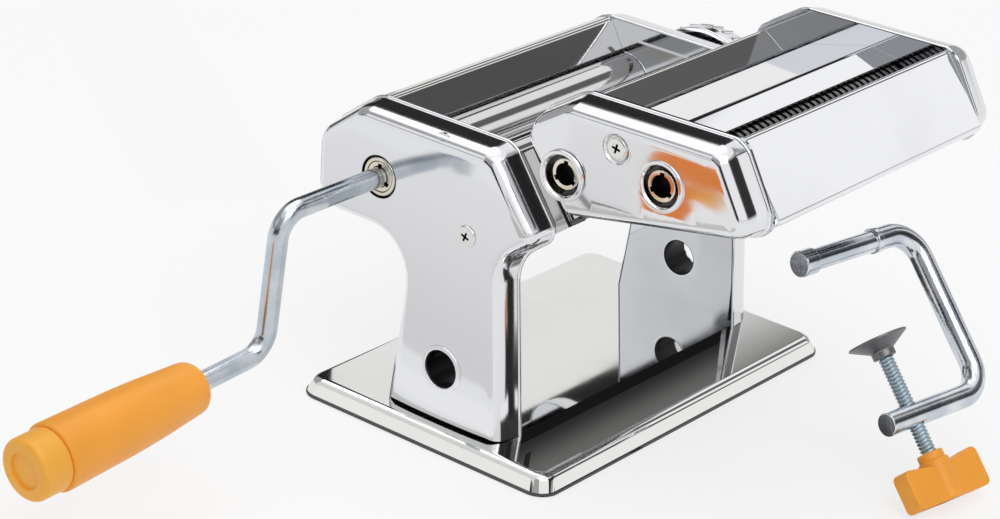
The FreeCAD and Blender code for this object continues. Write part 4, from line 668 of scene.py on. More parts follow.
    @staticmethod
    def aim(piece: bpy.types.Object, origin: Sequence[float], along: Sequence[float],
            up: Sequence[float] = (0.0, 0.0, 1.0)) -> bpy.types.Object:
        """Turns a piece made along X towards a direction and moves it to its place."""
        forward = Vector(along).normalized()
        side = Vector(up).cross(forward).normalized()
        axes = Matrix((forward, side, forward.cross(side))).transposed().to_4x4()
        Bench.change(piece, Matrix.Translation(Vector(origin)) @ axes)
        return piece

    @staticmethod
    def cross_screw(name: str, radius: float, height: float, dome: float, shank: float,
                    turn: float = 0.0) -> bpy.types.Object:
        """Phillips screw along X whose head stands on x = 0.

        Args:
            name: The piece's name.
            radius: Of the head.
            height: Of the head.
            dome: Rounding of the head's rim.
            shank: Length of the shank under the head.
            turn: Angle of the cross in degrees.

        Returns:
            The screw.
        """
        screw = Bench.lathe(name, [(-shank, 0.0, 0.0), (-shank, 2.0, 0.3), (0.0, 2.0, 0.0), (0.0, radius, 0.0),
                                   (height, radius, dome), (height, 0.0, 0.0)], 40, 5)
        for quarter in (0.0, 90.0):
            slot = Bench.block("cutter", (height - 1.5, -0.62, -radius * 0.56), (height + 1.0, 0.62, radius * 0.56))
            with Bench.editing(slot):
                Bench.pick(slot, Pick.FACES, lambda face: face.normal.x < -0.9)
                bpy.ops.transform.resize(value=(1.0, 0.5, 0.45), center_override=(height, 0.0, 0.0))
            Bench.change(slot, Matrix.Rotation(math.radians(turn + quarter), 4, "X"))
            Bench.cut(screw, slot)
        return screw

    @staticmethod
    def thread(name: str, radius: float, depth: float, pitch: float, length: float) -> bpy.types.Object:
        """Threaded bar along X from x = 0.

        Args:
            name: The piece's name.
            radius: Over the crests.
            depth: From crest to root.
            pitch: Between crests.
            length: Of the bar, rounded to whole turns.

        Returns:
            The closed thread.
        """
        Bench.clear()
        bpy.ops.mesh.primitive_circle_add(vertices=4, radius=1.0, fill_type="NOTHING")
        piece = Bench.adopt(name)
        places = [(0.0, radius - depth), (0.35 * pitch, radius), (0.65 * pitch, radius), (pitch, radius - depth)]
        with Bench.editing(piece):
            Bench.pick(piece, Pick.EDGES, lambda edge: {end.index for end in edge.verts} == {0, 3})
            bpy.ops.mesh.delete(type="EDGE_FACE")
            for index, (along, reach) in enumerate(places):
                Bench.pick(piece, Pick.VERTS, lambda vert: vert.index == index)
                now = bmesh.from_edit_mesh(piece.data).verts
                now.ensure_lookup_table()
                bpy.ops.transform.translate(value=Vector((along, 0.0, reach)) - now[index].co)
        Bench.modify(piece, "SCREW", {"axis": "X", "angle": 2 * math.pi, "screw_offset": pitch,
                                      "iterations": round(length / pitch), "steps": 24, "render_steps": 24,
                                      "use_merge_vertices": True, "merge_threshold": 0.01})
        with Bench.editing(piece):
            bpy.ops.mesh.select_all(action="SELECT")
            bpy.ops.mesh.remove_doubles(threshold=0.01)
            bpy.ops.mesh.fill_holes(sides=0)
        Bench.face_outwards(piece)
        return piece

    @staticmethod
    def change(piece: bpy.types.Object, matrix: Matrix) -> None:
        """Moves, turns or mirrors a piece's mesh by a matrix."""
        Bench.activate(piece)
        piece.matrix_world = matrix
        bpy.context.view_layer.update()
        bpy.ops.object.transform_apply(location=True, rotation=True, scale=True)

    @staticmethod
    def mirrored(piece: bpy.types.Object, name: str) -> bpy.types.Object:
        """Copy of a piece on the other side of the middle plane."""
        twin = Bench.copied(piece, name)
        Bench.change(twin, Matrix.Scale(-1.0, 4, (1.0, 0.0, 0.0)))
        Bench.face_outwards(twin)
        return twin

    @staticmethod
    def copied(piece: bpy.types.Object, name: str) -> bpy.types.Object:
        """Copy of a piece with a mesh of its own."""
        twin = piece.copy()
        twin.data = piece.data.copy()
        twin.name = name
        bpy.context.scene.collection.objects.link(twin)
        return twin

    @staticmethod
    def joined(name: str, pieces: Sequence[bpy.types.Object]) -> bpy.types.Object:
        """One piece from several."""
        Bench.clear()
        for piece in pieces:
            piece.select_set(True)
        bpy.context.view_layer.objects.active = pieces[0]
        bpy.ops.object.join()
        pieces[0].name = name
        return pieces[0]

    @staticmethod
    def finish(piece: bpy.types.Object, look: Finish, body: str, slot: str, nodes: Sequence[str],
               smooth: float = 35.0, inner: Optional[tuple[Finish, Callable[[Vector], bool]]] = None) -> bpy.types.Object:
        """Turns a piece into metres, smooths and paints it, and puts it on its body.

        Args:
            piece: The piece in millimetres.
            look: Its finish.
            body: The CAD body that it rides on.
            slot: The record's material slot; not used.
            nodes: The CAD nodes that it stands for.
            smooth: Edges sharper than this angle stay sharp, in degrees.
            inner: A second finish, and the test of a face's middle in millimetres for where it goes.

        Returns:
            The piece.
        """
        Bench.change(piece, Matrix.Scale(MM, 4))
        bpy.ops.object.shade_smooth_by_angle(angle=math.radians(smooth), keep_sharp_edges=False)
        Bench.modify(piece, "WEIGHTED_NORMAL", {"mode": "FACE_AREA", "weight": 50, "keep_sharp": True})
        piece.data.materials.clear()
        piece.data.materials.append(look.material())
        if inner:
            piece.data.materials.append(inner[0].material())
            for face in piece.data.polygons:
                face.material_index = int(inner[1](face.center / MM))
        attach(piece, body)
        if nodes:
            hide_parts(*nodes)
        log.info("%s: %d faces on %s", piece.name, len(piece.data.polygons), body)
        return piece


@dataclass(frozen=True)
class Bowl:
    """Soft round hollow that pressing leaves in a face."""

    y: float
    z: float
    depth: float
    width: float

    def at(self, y: float, z: float) -> float:
        """Depth of the hollow at a place."""
        return self.depth * math.exp(-((y - self.y) ** 2 + (z - self.z) ** 2) / self.width ** 2)


@dataclass
class PressedCover:
    """Deep pressed side cover: a softly pressed face, a wide fold, a tapered flange and a beaded rim."""

    name: str
    corners: list[Corner]
    flange_x: float
    face_x: float
    press: float
    reach: float
    bowls: tuple[Bowl, ...] = ()
    fold: float = 5.5
    fold_depth: float = 8.5
    bead: float = 0.8
    taper: float = 1.3
    wall: float = 0.8
    foot: Optional[int] = None
    grid: float = 4.5

    def ring(self, inset: float) -> list[Corner]:
        """Corners of the outline moved inwards.

        Args:
            inset: How far every side moves; the side that stands on the base moves a fifth of it.

        Returns:
            The new corners, with the roundings that a parallel outline has.
        """
        places = [Vector(corner[:2]) for corner in self.corners]
        count = len(places)
        area = sum(places[index - 1].x * places[index].y - places[index].x * places[index - 1].y
                   for index in range(count))
        hand = 1.0 if area > 0 else -1.0
        moved = []
        for index in range(count):
            before, here, after = places[index - 1], places[index], places[(index + 1) % count]
            into, out = (here - before).normalized(), (after - here).normalized()
            first = Vector((-into.y, into.x)) * hand * inset * (0.2 if index == self.foot else 1.0)
            second = Vector((-out.y, out.x)) * hand * inset * (0.2 if (index + 1) % count == self.foot else 1.0)
            turn = into.x * out.y - into.y * out.x
            gap = second - first
            shift = (gap.x * out.y - gap.y * out.x) / turn
            place = here + first + into * shift
            radius = self.corners[index][2]
            if radius > 0:
                radius = max(radius - inset, 0.5) if turn * hand > 0 else radius + inset
            moved.append((place.x, place.y, radius))
        return moved

    def profile(self) -> list[tuple[float, float]]:
        """(x, inset) steps from the rim over the bead and the flange to the face."""
        steps = [(self.flange_x + self.bead * (1.0 - math.cos(turn)), self.bead * (1.0 - math.sin(turn)))
                 for turn in (math.pi * share / 6 for share in range(7))]
        flat = self.face_x - self.fold_depth
        steps += [(flat + self.fold_depth * math.sin(turn), self.taper + self.fold * (1.0 - math.cos(turn)))
                  for turn in (math.pi / 2 * share / 8 for share in range(9))]
        return steps

    def depth(self, y: float, z: float) -> float:
        """How far inwards the face lies at a place, in millimetres.

        Args:
            y: Across the face.
            z: Up the face.

        Returns:
            The depth, which fades out towards the fold.
        """
        depth = self.press + sum(bowl.at(y, z) for bowl in self.bowls)
        place = Vector((y, z))
        for index, corner in enumerate(self.corners):
            if index == self.foot:
                continue
            start, end = Vector(self.corners[index - 1][:2]), Vector(corner[:2])
            along = end - start
            share = min(max((place - start).dot(along) / along.length_squared, 0.0), 1.0)
            gap = max((place - start - along * share).length - self.fold - self.taper, 0.0)
            depth *= 1.0 - math.exp(-gap / self.reach)
        return depth

    def build(self) -> bpy.types.Object:
        """Models the cover on the +X side, before its holes.

        Returns:
            The cover with its wall.
        """
        steps = self.profile()
        rings = [Bench.outline("ring", self.ring(inset), x, 7) for x, inset in steps]
        piece = Bench.joined(self.name, rings)
        with Bench.editing(piece):
            Bench.pick(piece, Pick.FACES, lambda face: abs(face.verts[0].co.x - self.face_x) > 1e-4)
            bpy.ops.mesh.delete(type="ONLY_FACE")
            for (low, _), (high, _) in zip(steps, steps[1:]):
                Bench.pick(piece, Pick.EDGES, lambda edge: any(all(abs(end.co.x - level) < 1e-4 for end in edge.verts)
                                                               for level in (low, high)))
                bpy.ops.mesh.bridge_edge_loops()
            self.press_face(piece)
            bpy.ops.mesh.select_all(action="SELECT")
            bpy.ops.mesh.normals_make_consistent(inside=False)
        Bench.thicken(piece, self.wall)
        return piece

    def press_face(self, piece: bpy.types.Object) -> None:
        """Divides the face into a grid and presses it by its depth, in edit mode."""
        for axis in (0, 1):
            places = [corner[axis] for corner in self.corners]
            lines = int((max(places) - min(places)) / self.grid)
            for line in range(1, lines):
                cut = min(places) + (max(places) - min(places)) * line / lines
                Bench.pick(piece, Pick.FACES,
                           lambda face: all(abs(vert.co.x - self.face_x) < 1e-3 for vert in face.verts))
                bpy.ops.mesh.bisect(plane_co=(0.0, cut, cut), plane_no=(0.0, 1.0 - axis, float(axis)))
        mesh = bmesh.from_edit_mesh(piece.data)
        for vert in mesh.verts:
            if abs(vert.co.x - self.face_x) < 1e-3:
                vert.co.x -= self.depth(vert.co.y, vert.co.z)
        bmesh.update_edit_mesh(piece.data)

    def seat(self, place: Sequence[float]) -> float:
        """X of the pressed face at a place."""
        return self.face_x - self.depth(place[0], place[1])


@dataclass
class Sleeve:
    """End of a roller with the keyed hole that the crank fits into."""

    bore: float = 4.6
    depth: float = 24.0
    notch_radius: float = 5.6
    notch_width: float = 2.1

    def open(self, piece: bpy.types.Object, mouth: float, y: float, z: float) -> None:
        """Cuts the hole and its three notches from the mouth towards +X."""
        Bench.cut(piece, Bench.drum("cutter", mouth - 1.0, mouth + self.depth, self.bore, y, z, 40))
        for third in range(3):
            half = self.notch_width / 2
            notch = Bench.block("cutter", (mouth - 1.0, -half, 0.0), (mouth + self.depth, half, self.notch_radius))
            Bench.change(notch, Matrix.Translation((0.0, y, z)) @ Matrix.Rotation(math.radians(120.0 * third), 4, "X"))
            Bench.cut(piece, notch)


    def bore_shade_test(self, mouth: float, y: float, z: float) -> Callable[[Vector], bool]:
        """Test for the faces deep in the hole, which get the near-black painted shade."""
        return lambda place: place.x > mouth + 1.2 and math.hypot(place.y - y, place.z - z) < self.notch_radius + 0.2


def turned(name: str, section: Sequence[Corner], y: float, z: float, steps: int = 72) -> bpy.types.Object:
    """Turned piece about the line along X through (y, z)."""
    piece = Bench.lathe(name, section, steps)
    Bench.change(piece, Matrix.Translation((0.0, y, z)))
    return piece


@dataclass
class Housing:
    """The machine's base tray, pressed side covers, hopper and sheet rollers."""

    frame_x: float = 75.0
    frame_out_x: float = 76.2
    cover_x: float = 90.0
    base_size: tuple[float, float, float] = (202.0, 134.0, 9.0)
    base_top: float = 8.7
    base_foot: float = 1.0
    base_draft: float = 3.3
    base_bevel: float = 2.8
    clamp_hole: tuple[float, float, float] = (-1.9, 32.8, 9.0)
    crank_hole: tuple[float, float, float] = (37.2, 105.9, 9.3)
    dial_hole: tuple[float, float, float] = (7.4443, 105.0818, 8.0)
    screw_hole: tuple[float, float, float] = (-10.1, 94.8, 2.1)
    second_axis: tuple[float, float] = (6.1886, 105.4182)
    corners: list[Corner] = field(default_factory=lambda: [
        (30.3, 8.7, 0.0), (-34.5, 8.7, 0.0), (-26.9, 86.6, 16.0), (-45.92, 101.24, 7.0), (-20.6, 135.0, 11.0),
        (50.5, 135.0, 13.0), (74.3, 116.5, 12.0), (74.0, 80.6, 14.0), (24.5, 80.5, 17.0), (24.8, 58.0, 20.0)])
    rear_line: tuple[tuple[float, float], ...] = (
        (39.6, 120.9), (47.0, 133.6), (52.0, 132.5), (72.8, 115.0), (72.5, 94.6))
    front_line: tuple[tuple[float, float], ...] = ((-5.0, 119.8), (-17.2, 133.5), (-21.5, 131.3), (-42.9, 102.7))

    def hole(self, place: tuple[float, float, float]) -> bpy.types.Object:
        """Cutter for a round hole through the cover's face."""
        y, z, radius = place
        return Bench.drum("cutter", self.cover_x - 5, self.cover_x + 5, radius, y, z)

    def build_base(self) -> None:
        """Models the pressed tray under the machine, and the near-black band round its foot that paints the shade of
        the gap under it.
        """
        length, depth, corner = self.base_size
        x, y = length / 2 - self.base_draft, depth / 2 - self.base_draft
        rounding = corner - self.base_draft / 2
        tray = Bench.outline("base", [(-x, -y, rounding), (x, -y, rounding), (x, y, rounding), (-x, y, rounding)],
                             self.base_top)
        Bench.change(tray, Matrix(((0, 1, 0, 0), (0, 0, 1, 0), (1, 0, 0, 0), (0, 0, 0, 1))))
        with Bench.editing(tray):
            bpy.ops.mesh.select_all(action="SELECT")
            Bench.extrude(tray, (0.0, 0.0, self.base_foot - self.base_top))
            bpy.ops.transform.resize(value=((length / 2 - 0.4) / x, (depth / 2 - 0.4) / y, 1.0),
                                     center_override=(0.0, 0.0, self.base_foot))
            bpy.ops.mesh.select_all(action="SELECT")
            bpy.ops.mesh.normals_make_consistent(inside=False)
            Bench.pick(tray, Pick.FACES, lambda face: face.normal.z < -0.9)
            bpy.ops.mesh.delete(type="FACE")
            Bench.pick(tray, Pick.EDGES, lambda edge: all(end.co.z > self.base_top - 1e-3 for end in edge.verts))
            bpy.ops.mesh.bevel(offset=self.base_bevel, segments=6, profile=0.5, affect="EDGES", clamp_overlap=False)
        Bench.thicken(tray, 1.2)
        Bench.round_edges(tray, 0.3, 2, 60.0)
        Bench.finish(tray, BASE_CHROME, "housing", "chrome", ["base_plate"])
        # The band round the tray's foot is painted shade: near-black steel that stands in for the dark gap under the
        # tray.
        x, y = length / 2, depth / 2
        shade_band = Bench.outline("base_shade_band", [(-x, -y, corner), (x, -y, corner), (x, y, corner), (-x, y, corner)], 1.9)
        Bench.change(shade_band, Matrix(((0, 1, 0, 0), (0, 0, 1, 0), (1, 0, 0, 0), (0, 0, 0, 1))))
        with Bench.editing(shade_band):
            bpy.ops.mesh.select_all(action="SELECT")
            Bench.extrude(shade_band, (0.0, 0.0, -1.5))
            bpy.ops.mesh.select_all(action="SELECT")
            bpy.ops.mesh.normals_make_consistent(inside=False)
            Bench.pick(shade_band, Pick.FACES, lambda face: abs(face.normal.z) > 0.9)
            bpy.ops.mesh.delete(type="FACE")
        Bench.thicken(shade_band, 1.2)
        Bench.round_edges(shade_band, 0.3, 2, 60.0)
        Bench.finish(shade_band, PAINTED_SHADE_STEEL, "housing", "chrome", ["base_plate"])

    def build_covers(self) -> None:
        """Models the two side covers, the rims of the clamp holes and the cover screws."""
        shape = PressedCover("dial_cover", self.corners, self.frame_x, self.cover_x, -1.2, 12.0, foot=1)
        cover = shape.build()
        for place in (self.clamp_hole, self.screw_hole):
            Bench.cut(cover, self.hole(place))
        near = Bench.mirrored(cover, "crank_cover")
        Bench.cut(cover, self.hole(self.dial_hole))
        y, z, radius = self.crank_hole
        Bench.cut(near, Bench.drum("cutter", -self.cover_x - 5, -self.cover_x + 5, radius, y, z))
        Bench.finish(cover, CHROME, "housing", "chrome", ["dial_side_cover"])
        Bench.finish(near, CHROME, "housing", "chrome", ["crank_side_cover"])
        y, z, radius = self.clamp_hole
        lip = shape.seat(self.clamp_hole)
        rim = turned("clamp_rims", [(self.frame_x, radius - 0.8, 0.0), (self.frame_x, radius, 0.0), (lip - 0.2, radius, 0.0),
                                    (lip - 0.2, radius + 1.3, 0.2), (lip + 0.8, radius + 1.3, 0.5),
                                    (lip + 0.8, radius - 0.8, 0.7)], y, z)
        Bench.finish(Bench.joined("clamp_rims", [rim, Bench.mirrored(rim, "far_rim")]), CHROME, "housing", "chrome",
                     ["clamp_sleeves"])
        # A near-black tube inside each clamp hole is painted shade.
        shade_tube = turned("clamp_shade_tubes", [(self.frame_x, radius - 1.0, 0.0), (self.frame_x, radius - 0.7, 0.0),
                                          (lip - 0.6, radius - 0.7, 0.0), (lip - 0.6, radius - 1.0, 0.0)], y, z)
        Bench.finish(Bench.joined("clamp_shade_tubes", [shade_tube, Bench.mirrored(shade_tube, "far_shade_tube")]), PAINTED_HOLE_SHADE,
                     "housing", "chrome", ["clamp_sleeves"])
        y, z, radius = self.screw_hole
        screw = Bench.cross_screw("cover_screws", 4.7, 1.1, 0.8, 9.0, 20.0)
        Bench.change(screw, Matrix.Translation((shape.seat(self.screw_hole) - 0.1, y, z)))
        top = shape.seat(self.screw_hole) + 1.0
        # The cross recesses of the screws get the near-black painted shade.
        Bench.finish(Bench.joined("housing_screws", [screw, Bench.mirrored(screw, "far_screw")]), NICKEL_WHITE,
                     "housing", "chrome", ["cover_screws"],
                     inner=(PAINTED_HOLE_SHADE, lambda place: top - 1.2 < abs(place.x) < top - 0.14
                            and math.hypot(place.y - y, place.z - z) < 2.75))

    def build_hopper(self) -> None:
        """Models the sheets that lead the dough to the rollers."""
        x = self.frame_x
        rear = Bench.strip("rear_hopper", self.rear_line, -x, x, 1.0)
        Bench.finish(rear, SHEET_STEEL, "housing", "steel_sheet", ["rear_hopper_sheet"])
        front = Bench.strip("front_hopper", self.front_line, -x, x, 1.0)
        Bench.finish(front, SHEET_STEEL, "housing", "steel_sheet", ["front_hopper_sheet"])

    def build_rollers(self) -> None:
        """Models the two sheet rollers, the crank socket and its ring."""
        y, z, radius = self.crank_hole
        drum = turned("fixed_drum", [(-79.2, 0.0, 0.0), (-79.2, 7.5, 0.3), (-74.8, 7.5, 0.0), (-74.8, 14.0, 0.5),
                                     (74.8, 14.0, 0.5), (74.8, 5.0, 0.0), (80.4, 5.0, 0.4), (80.4, 0.0, 0.0)], y, z)
        Bench.finish(drum, ROLLER_STEEL, "drive_roller", "roller_steel", ["fixed_roller"])
        sleeve = turned("crank_socket", [(-90.2, 0.0, 0.0), (-90.2, 6.5, 0.5), (-79.0, 6.5, 0.0), (-79.0, 0.0, 0.0)], y, z)
        Sleeve().open(sleeve, -90.2, y, z)
        # The deep faces of the socket's bore get the near-black painted shade.
        Bench.finish(sleeve, NICKEL, "drive_roller", "roller_steel", ["fixed_roller"],
                     inner=(PAINTED_HOLE_SHADE, Sleeve().bore_shade_test(-90.2, y, z)))
        ring = turned("roller_rings", [(-90.4, 6.7, 0.4), (-90.4, 8.3, 0.7), (-85.5, 8.3, 0.0), (-85.5, 6.7, 0.0)], y, z)
        retainer = turned("retainer", [(79.2, 5.0, 0.2), (79.2, 7.0, 0.3), (80.4, 7.0, 0.3), (80.4, 5.0, 0.2)], y, z)
        Bench.finish(Bench.joined("roller_rings", [ring, retainer]), NICKEL, "drive_roller", "nylon", ["roller_rings"])
        y, z = self.second_axis
        tube = turned("adjustable_drum", [(-74.8, 9.1, 0.5), (-74.8, 14.0, 0.5), (74.8, 14.0, 0.5), (74.8, 9.1, 0.5)], y, z)
        Bench.finish(tube, ROLLER_STEEL, "second_roller", "roller_steel", ["adjustable_roller"])

    def build(self) -> None:
        """Models the housing."""
        self.build_base()
        self.build_covers()
        self.build_hopper()
        self.build_rollers()


@dataclass
class Crank:
    """Bent crank rod with its turning grip."""

    tip: tuple[float, float, float] = (-69.2, 37.2, 105.9)
    elbow: tuple[float, float, float] = (-149.0, 37.2, 105.9)
    low_elbow: tuple[float, float, float] = (-149.0, 43.0065, 44.4738)
    out: tuple[float, float, float] = (-0.99824, 0.005581, -0.059043)
    radius: float = 4.25
    bend: float = 11.0
    grip_start: float = 39.0
    grip_length: float = 77.5
    cap_length: float = 13.5
    rod_past: float = 120.5

    def build(self) -> None:
        """Models the rod, the grip and its cap."""
        low, out = Vector(self.low_elbow), Vector(self.out)
        rod = Bench.rod("crank_bar", self.radius, [Vector(self.tip), Vector(self.elbow), low,
                                                   low + out * self.rod_past], self.bend)
        keys = [rod]
        for third in range(3):
            key = Bench.block("key", (self.tip[0] - 12.0, -0.75, 0.0), (self.tip[0], 0.75, 5.3))
            Bench.change(key, Matrix.Translation((0.0, *self.tip[1:])) @ Matrix.Rotation(math.radians(120.0 * third), 4, "X"))
            Bench.round_edges(key, 0.2, 2, 60.0)
            keys.append(key)
        Bench.finish(Bench.joined("crank_bar", keys), CRANK_ZINC, "crank", "zinc_steel", ["crank_rod"])
        start = low + out * self.grip_start
        grip = Bench.lathe("grip_body", [(0.0, 4.3, 0.0), (0.0, 10.8, 5.0), (34.0, 13.4, 400.0), (77.5, 14.3, 1.2),
                                         (77.5, 4.3, 0.0)], 96, 8)
        Bench.finish(Bench.aim(grip, start, out), ORANGE, "grip", "orange_plastic", ["crank_grip"])
        cap = Bench.lathe("grip_end", [(0.0, 6.9, 0.0), (0.0, 13.0, 0.6), (13.5, 13.0, 2.5), (13.5, 7.5, 0.5),
                                       (12.0, 7.5, 0.3), (12.0, 0.0, 0.0), (4.8, 0.0, 0.0), (4.8, 6.9, 0.0)], 96, 8)
        Bench.finish(Bench.aim(cap, start + out * self.grip_length, out), CAP_ORANGE, "grip", "orange_cap", ["grip_cap"])


@dataclass
class CutterHead:
    """The cutter attachment: covers, collars, screws, sheets and the four cutter rollers."""

    face_x: float = 89.2
    flange_x: float = 74.2
    plate_x: float = 73.0
    sleeve_x: float = -87.4
    disc_radius: float = 10.9
    core_radius: float = 8.9
    sleeve_radius: float = 6.5
    screw_place: tuple[float, float] = (-78.2, 153.1)
    wide: tuple[float, float] = (-54.4, 134.8)
    narrow: tuple[float, float] = (-99.79, 144.035)
    step: tuple[float, float] = (-19.5985, 3.9874)
    corners: list[Corner] = field(default_factory=lambda: [
        (-54.8, 114.9, 8.0), (-147.8, 133.2, 10.0), (-127.5, 168.3, 10.0), (-53.0, 166.5, 12.0), (-27.0, 149.5, 12.0)])
    rear_line: tuple[tuple[float, float], ...] = ((-45.6, 144.2), (-35.0, 151.5), (-32.0, 146.5))
    centre_line: tuple[tuple[float, float], ...] = ((-58.5, 150.8), (-88.49, 158.63), (-101.49, 156.43))
    panel_line: tuple[tuple[float, float], ...] = (
        (-115.49, 160.82), (-124.6, 167.0), (-145.0, 139.0), (-141.0, 135.5))

    def build_covers(self) -> None:
        """Models the covers, the collars of the crank sockets and the screws."""
        hollow = Bowl(self.narrow[0] - 3.0, self.narrow[1] - 5.0, 2.4, 21.0)
        shape = PressedCover("cutter_far_cover", self.corners, self.flange_x, self.face_x, 0.8, 8.0, (hollow,),
                             fold=5.2, fold_depth=10.5)
        cover = shape.build()
        y, z = self.screw_place
        seat = shape.seat(self.screw_place)
        Bench.cut(cover, Bench.drum("cutter", self.face_x - 5, self.face_x + 5, 6.2, y, z))
        cup = turned("cup", [(seat - 1.6, 2.1, 0.0), (seat - 1.6, 5.0, 0.4), (seat - 0.1, 6.3, 0.9), (seat + 0.1, 7.0, 0.2),
                             (seat - 0.5, 6.8, 0.2), (seat - 2.4, 5.2, 0.6), (seat - 2.4, 2.1, 0.0)], y, z)
        far = Bench.joined("cutter_far_cover", [cover, cup])
        near = Bench.mirrored(far, "cutter_near_cover")
        collars = []
        for y, z in (self.wide, self.narrow):
            Bench.cut(near, Bench.drum("cutter", -self.face_x - 5, -self.face_x + 9, 9.2, y, z))
            front = -shape.seat((y, z))
            collars.append(turned("collar", [
                (front + 9.0, 8.4, 0.0), (front + 9.0, 9.2, 0.0), (front - 0.1, 9.2, 0.6), (front - 0.1, 10.7, 0.3),
                (front - 1.5, 10.5, 0.7), (front - 1.6, 8.9, 0.5), (front - 0.4, 8.2, 0.8)], y, z))
        Bench.finish(far, CHROME, "cutter_head", "chrome", ["cutter_dial_cover"])
        Bench.finish(near, CHROME, "cutter_head", "chrome", ["cutter_crank_cover"])
        Bench.finish(Bench.joined("collars", collars), CHROME, "cutter_head", "chrome", ["socket_collars"])
        y, z = self.screw_place
        screws = []
        for rod_y, rod_z in ((-41.0, 141.0), (-87.59, 128.535), (-138.0, 140.0)):
            small = Bench.cross_screw("small_screw", 3.5, 1.8, 0.7, 9.2, 10.0)
            Bench.change(small, Matrix.Translation((self.flange_x, rod_y, rod_z)))
            screws.append(small)
        head = Bench.cross_screw("cutter_screw", 4.6, 1.5, 1.0, 7.0, 12.0)
        Bench.change(head, Matrix.Translation((seat - 1.5, y, z)))
        screws.append(head)
        screws += [Bench.mirrored(screw, "far_screw") for screw in screws]
        # The cross recess of the cutter screw gets the near-black painted shade.
        Bench.finish(Bench.joined("cutter_head_screws", screws), NICKEL_WHITE, "cutter_head", "zinc_steel",
                     ["cutter_screws"], inner=(PAINTED_HOLE_SHADE, lambda place: seat - 1.6 < abs(place.x) < seat - 0.14
                                               and math.hypot(place.y - y, place.z - z) < 2.7))

    def build_sheets(self) -> None:
        """Models the three sheets between the side plates."""
        x = self.plate_x
        for name, line, look, node in (("head_rear_sheet", self.rear_line, SHEET_STEEL, "cutter_rear_sheet"),
                                       ("head_centre_sheet", self.centre_line, PANEL_CHROME, "cutter_centre_sheet"),
                                       ("head_front_panel", self.panel_line, PANEL_CHROME, "cutter_front_panel")):
            Bench.finish(Bench.strip(name, line, -x, x, 1.0), look, "cutter_head", "steel_sheet", [node])

    def build_roller(self, kind: str, role: str, ribbon: float) -> None:
        """Models one cutter roller: a core and its sharp discs, one ribbon wide and one apart.

        Args:
            kind: "wide" or "narrow".
            role: "drive" or "follower".
            ribbon: Width of a ribbon of dough.
        """
        follower = role == "follower"
        y, z = self.wide if kind == "wide" else self.narrow
        if follower:
            y, z = y + self.step[0], z + self.step[1]
        node, body = f"{kind}_{role}_roller", f"{kind}_{role}"
        half, width = self.plate_x - 0.4, ribbon - 0.15
        grooves = int((2 * half - ribbon) / (2 * ribbon))
        start = -(grooves * 2 * ribbon + width) / 2 + (ribbon if follower else 0.0)
        disc = Bench.drum("disc", start, start + width, self.disc_radius, y, z, 28)
        Bench.round_edges(disc, 0.12, 1, 60.0)
        Bench.modify(disc, "ARRAY", {"count": grooves if follower else grooves + 1, "use_relative_offset": False,
                                     "use_constant_offset": True, "constant_offset_displace": (2 * ribbon, 0.0, 0.0)})
        ends = 4.0 if follower else self.sleeve_radius
        core = turned("core", [(-79.4, 0.0, 0.0), (-79.4, ends, 0.3), (-half, ends, 0.0), (-half, self.core_radius, 0.2),
                               (half, self.core_radius, 0.2), (half, 4.0, 0.0), (86.0, 4.0, 0.4), (86.0, 0.0, 0.0)], y, z, 48)
        Bench.finish(Bench.joined(f"{kind}_{role}_discs", [disc, core]), CUTTER_STEEL, body, "roller_steel", [node])
        if not follower:
            sleeve = turned("sleeve", [(self.sleeve_x, 0.0, 0.0), (self.sleeve_x, ends, 0.6), (-79.0, ends, 0.0),
                                       (-79.0, 0.0, 0.0)], y, z)
            sleeve.name = f"{kind}_socket"
            Sleeve().open(sleeve, self.sleeve_x, y, z)
            # The deep faces of the socket's bore get the near-black painted shade.
            Bench.finish(sleeve, NICKEL, body, "roller_steel", [node],
                         inner=(PAINTED_HOLE_SHADE, Sleeve().bore_shade_test(self.sleeve_x, y, z)))

    def build(self) -> None:
        """Models the attachment."""
        self.build_covers()
        self.build_sheets()
        for kind, ribbon in (("wide", 6.5), ("narrow", 2.0)):
            for role in ("drive", "follower"):
                self.build_roller(kind, role, ribbon)


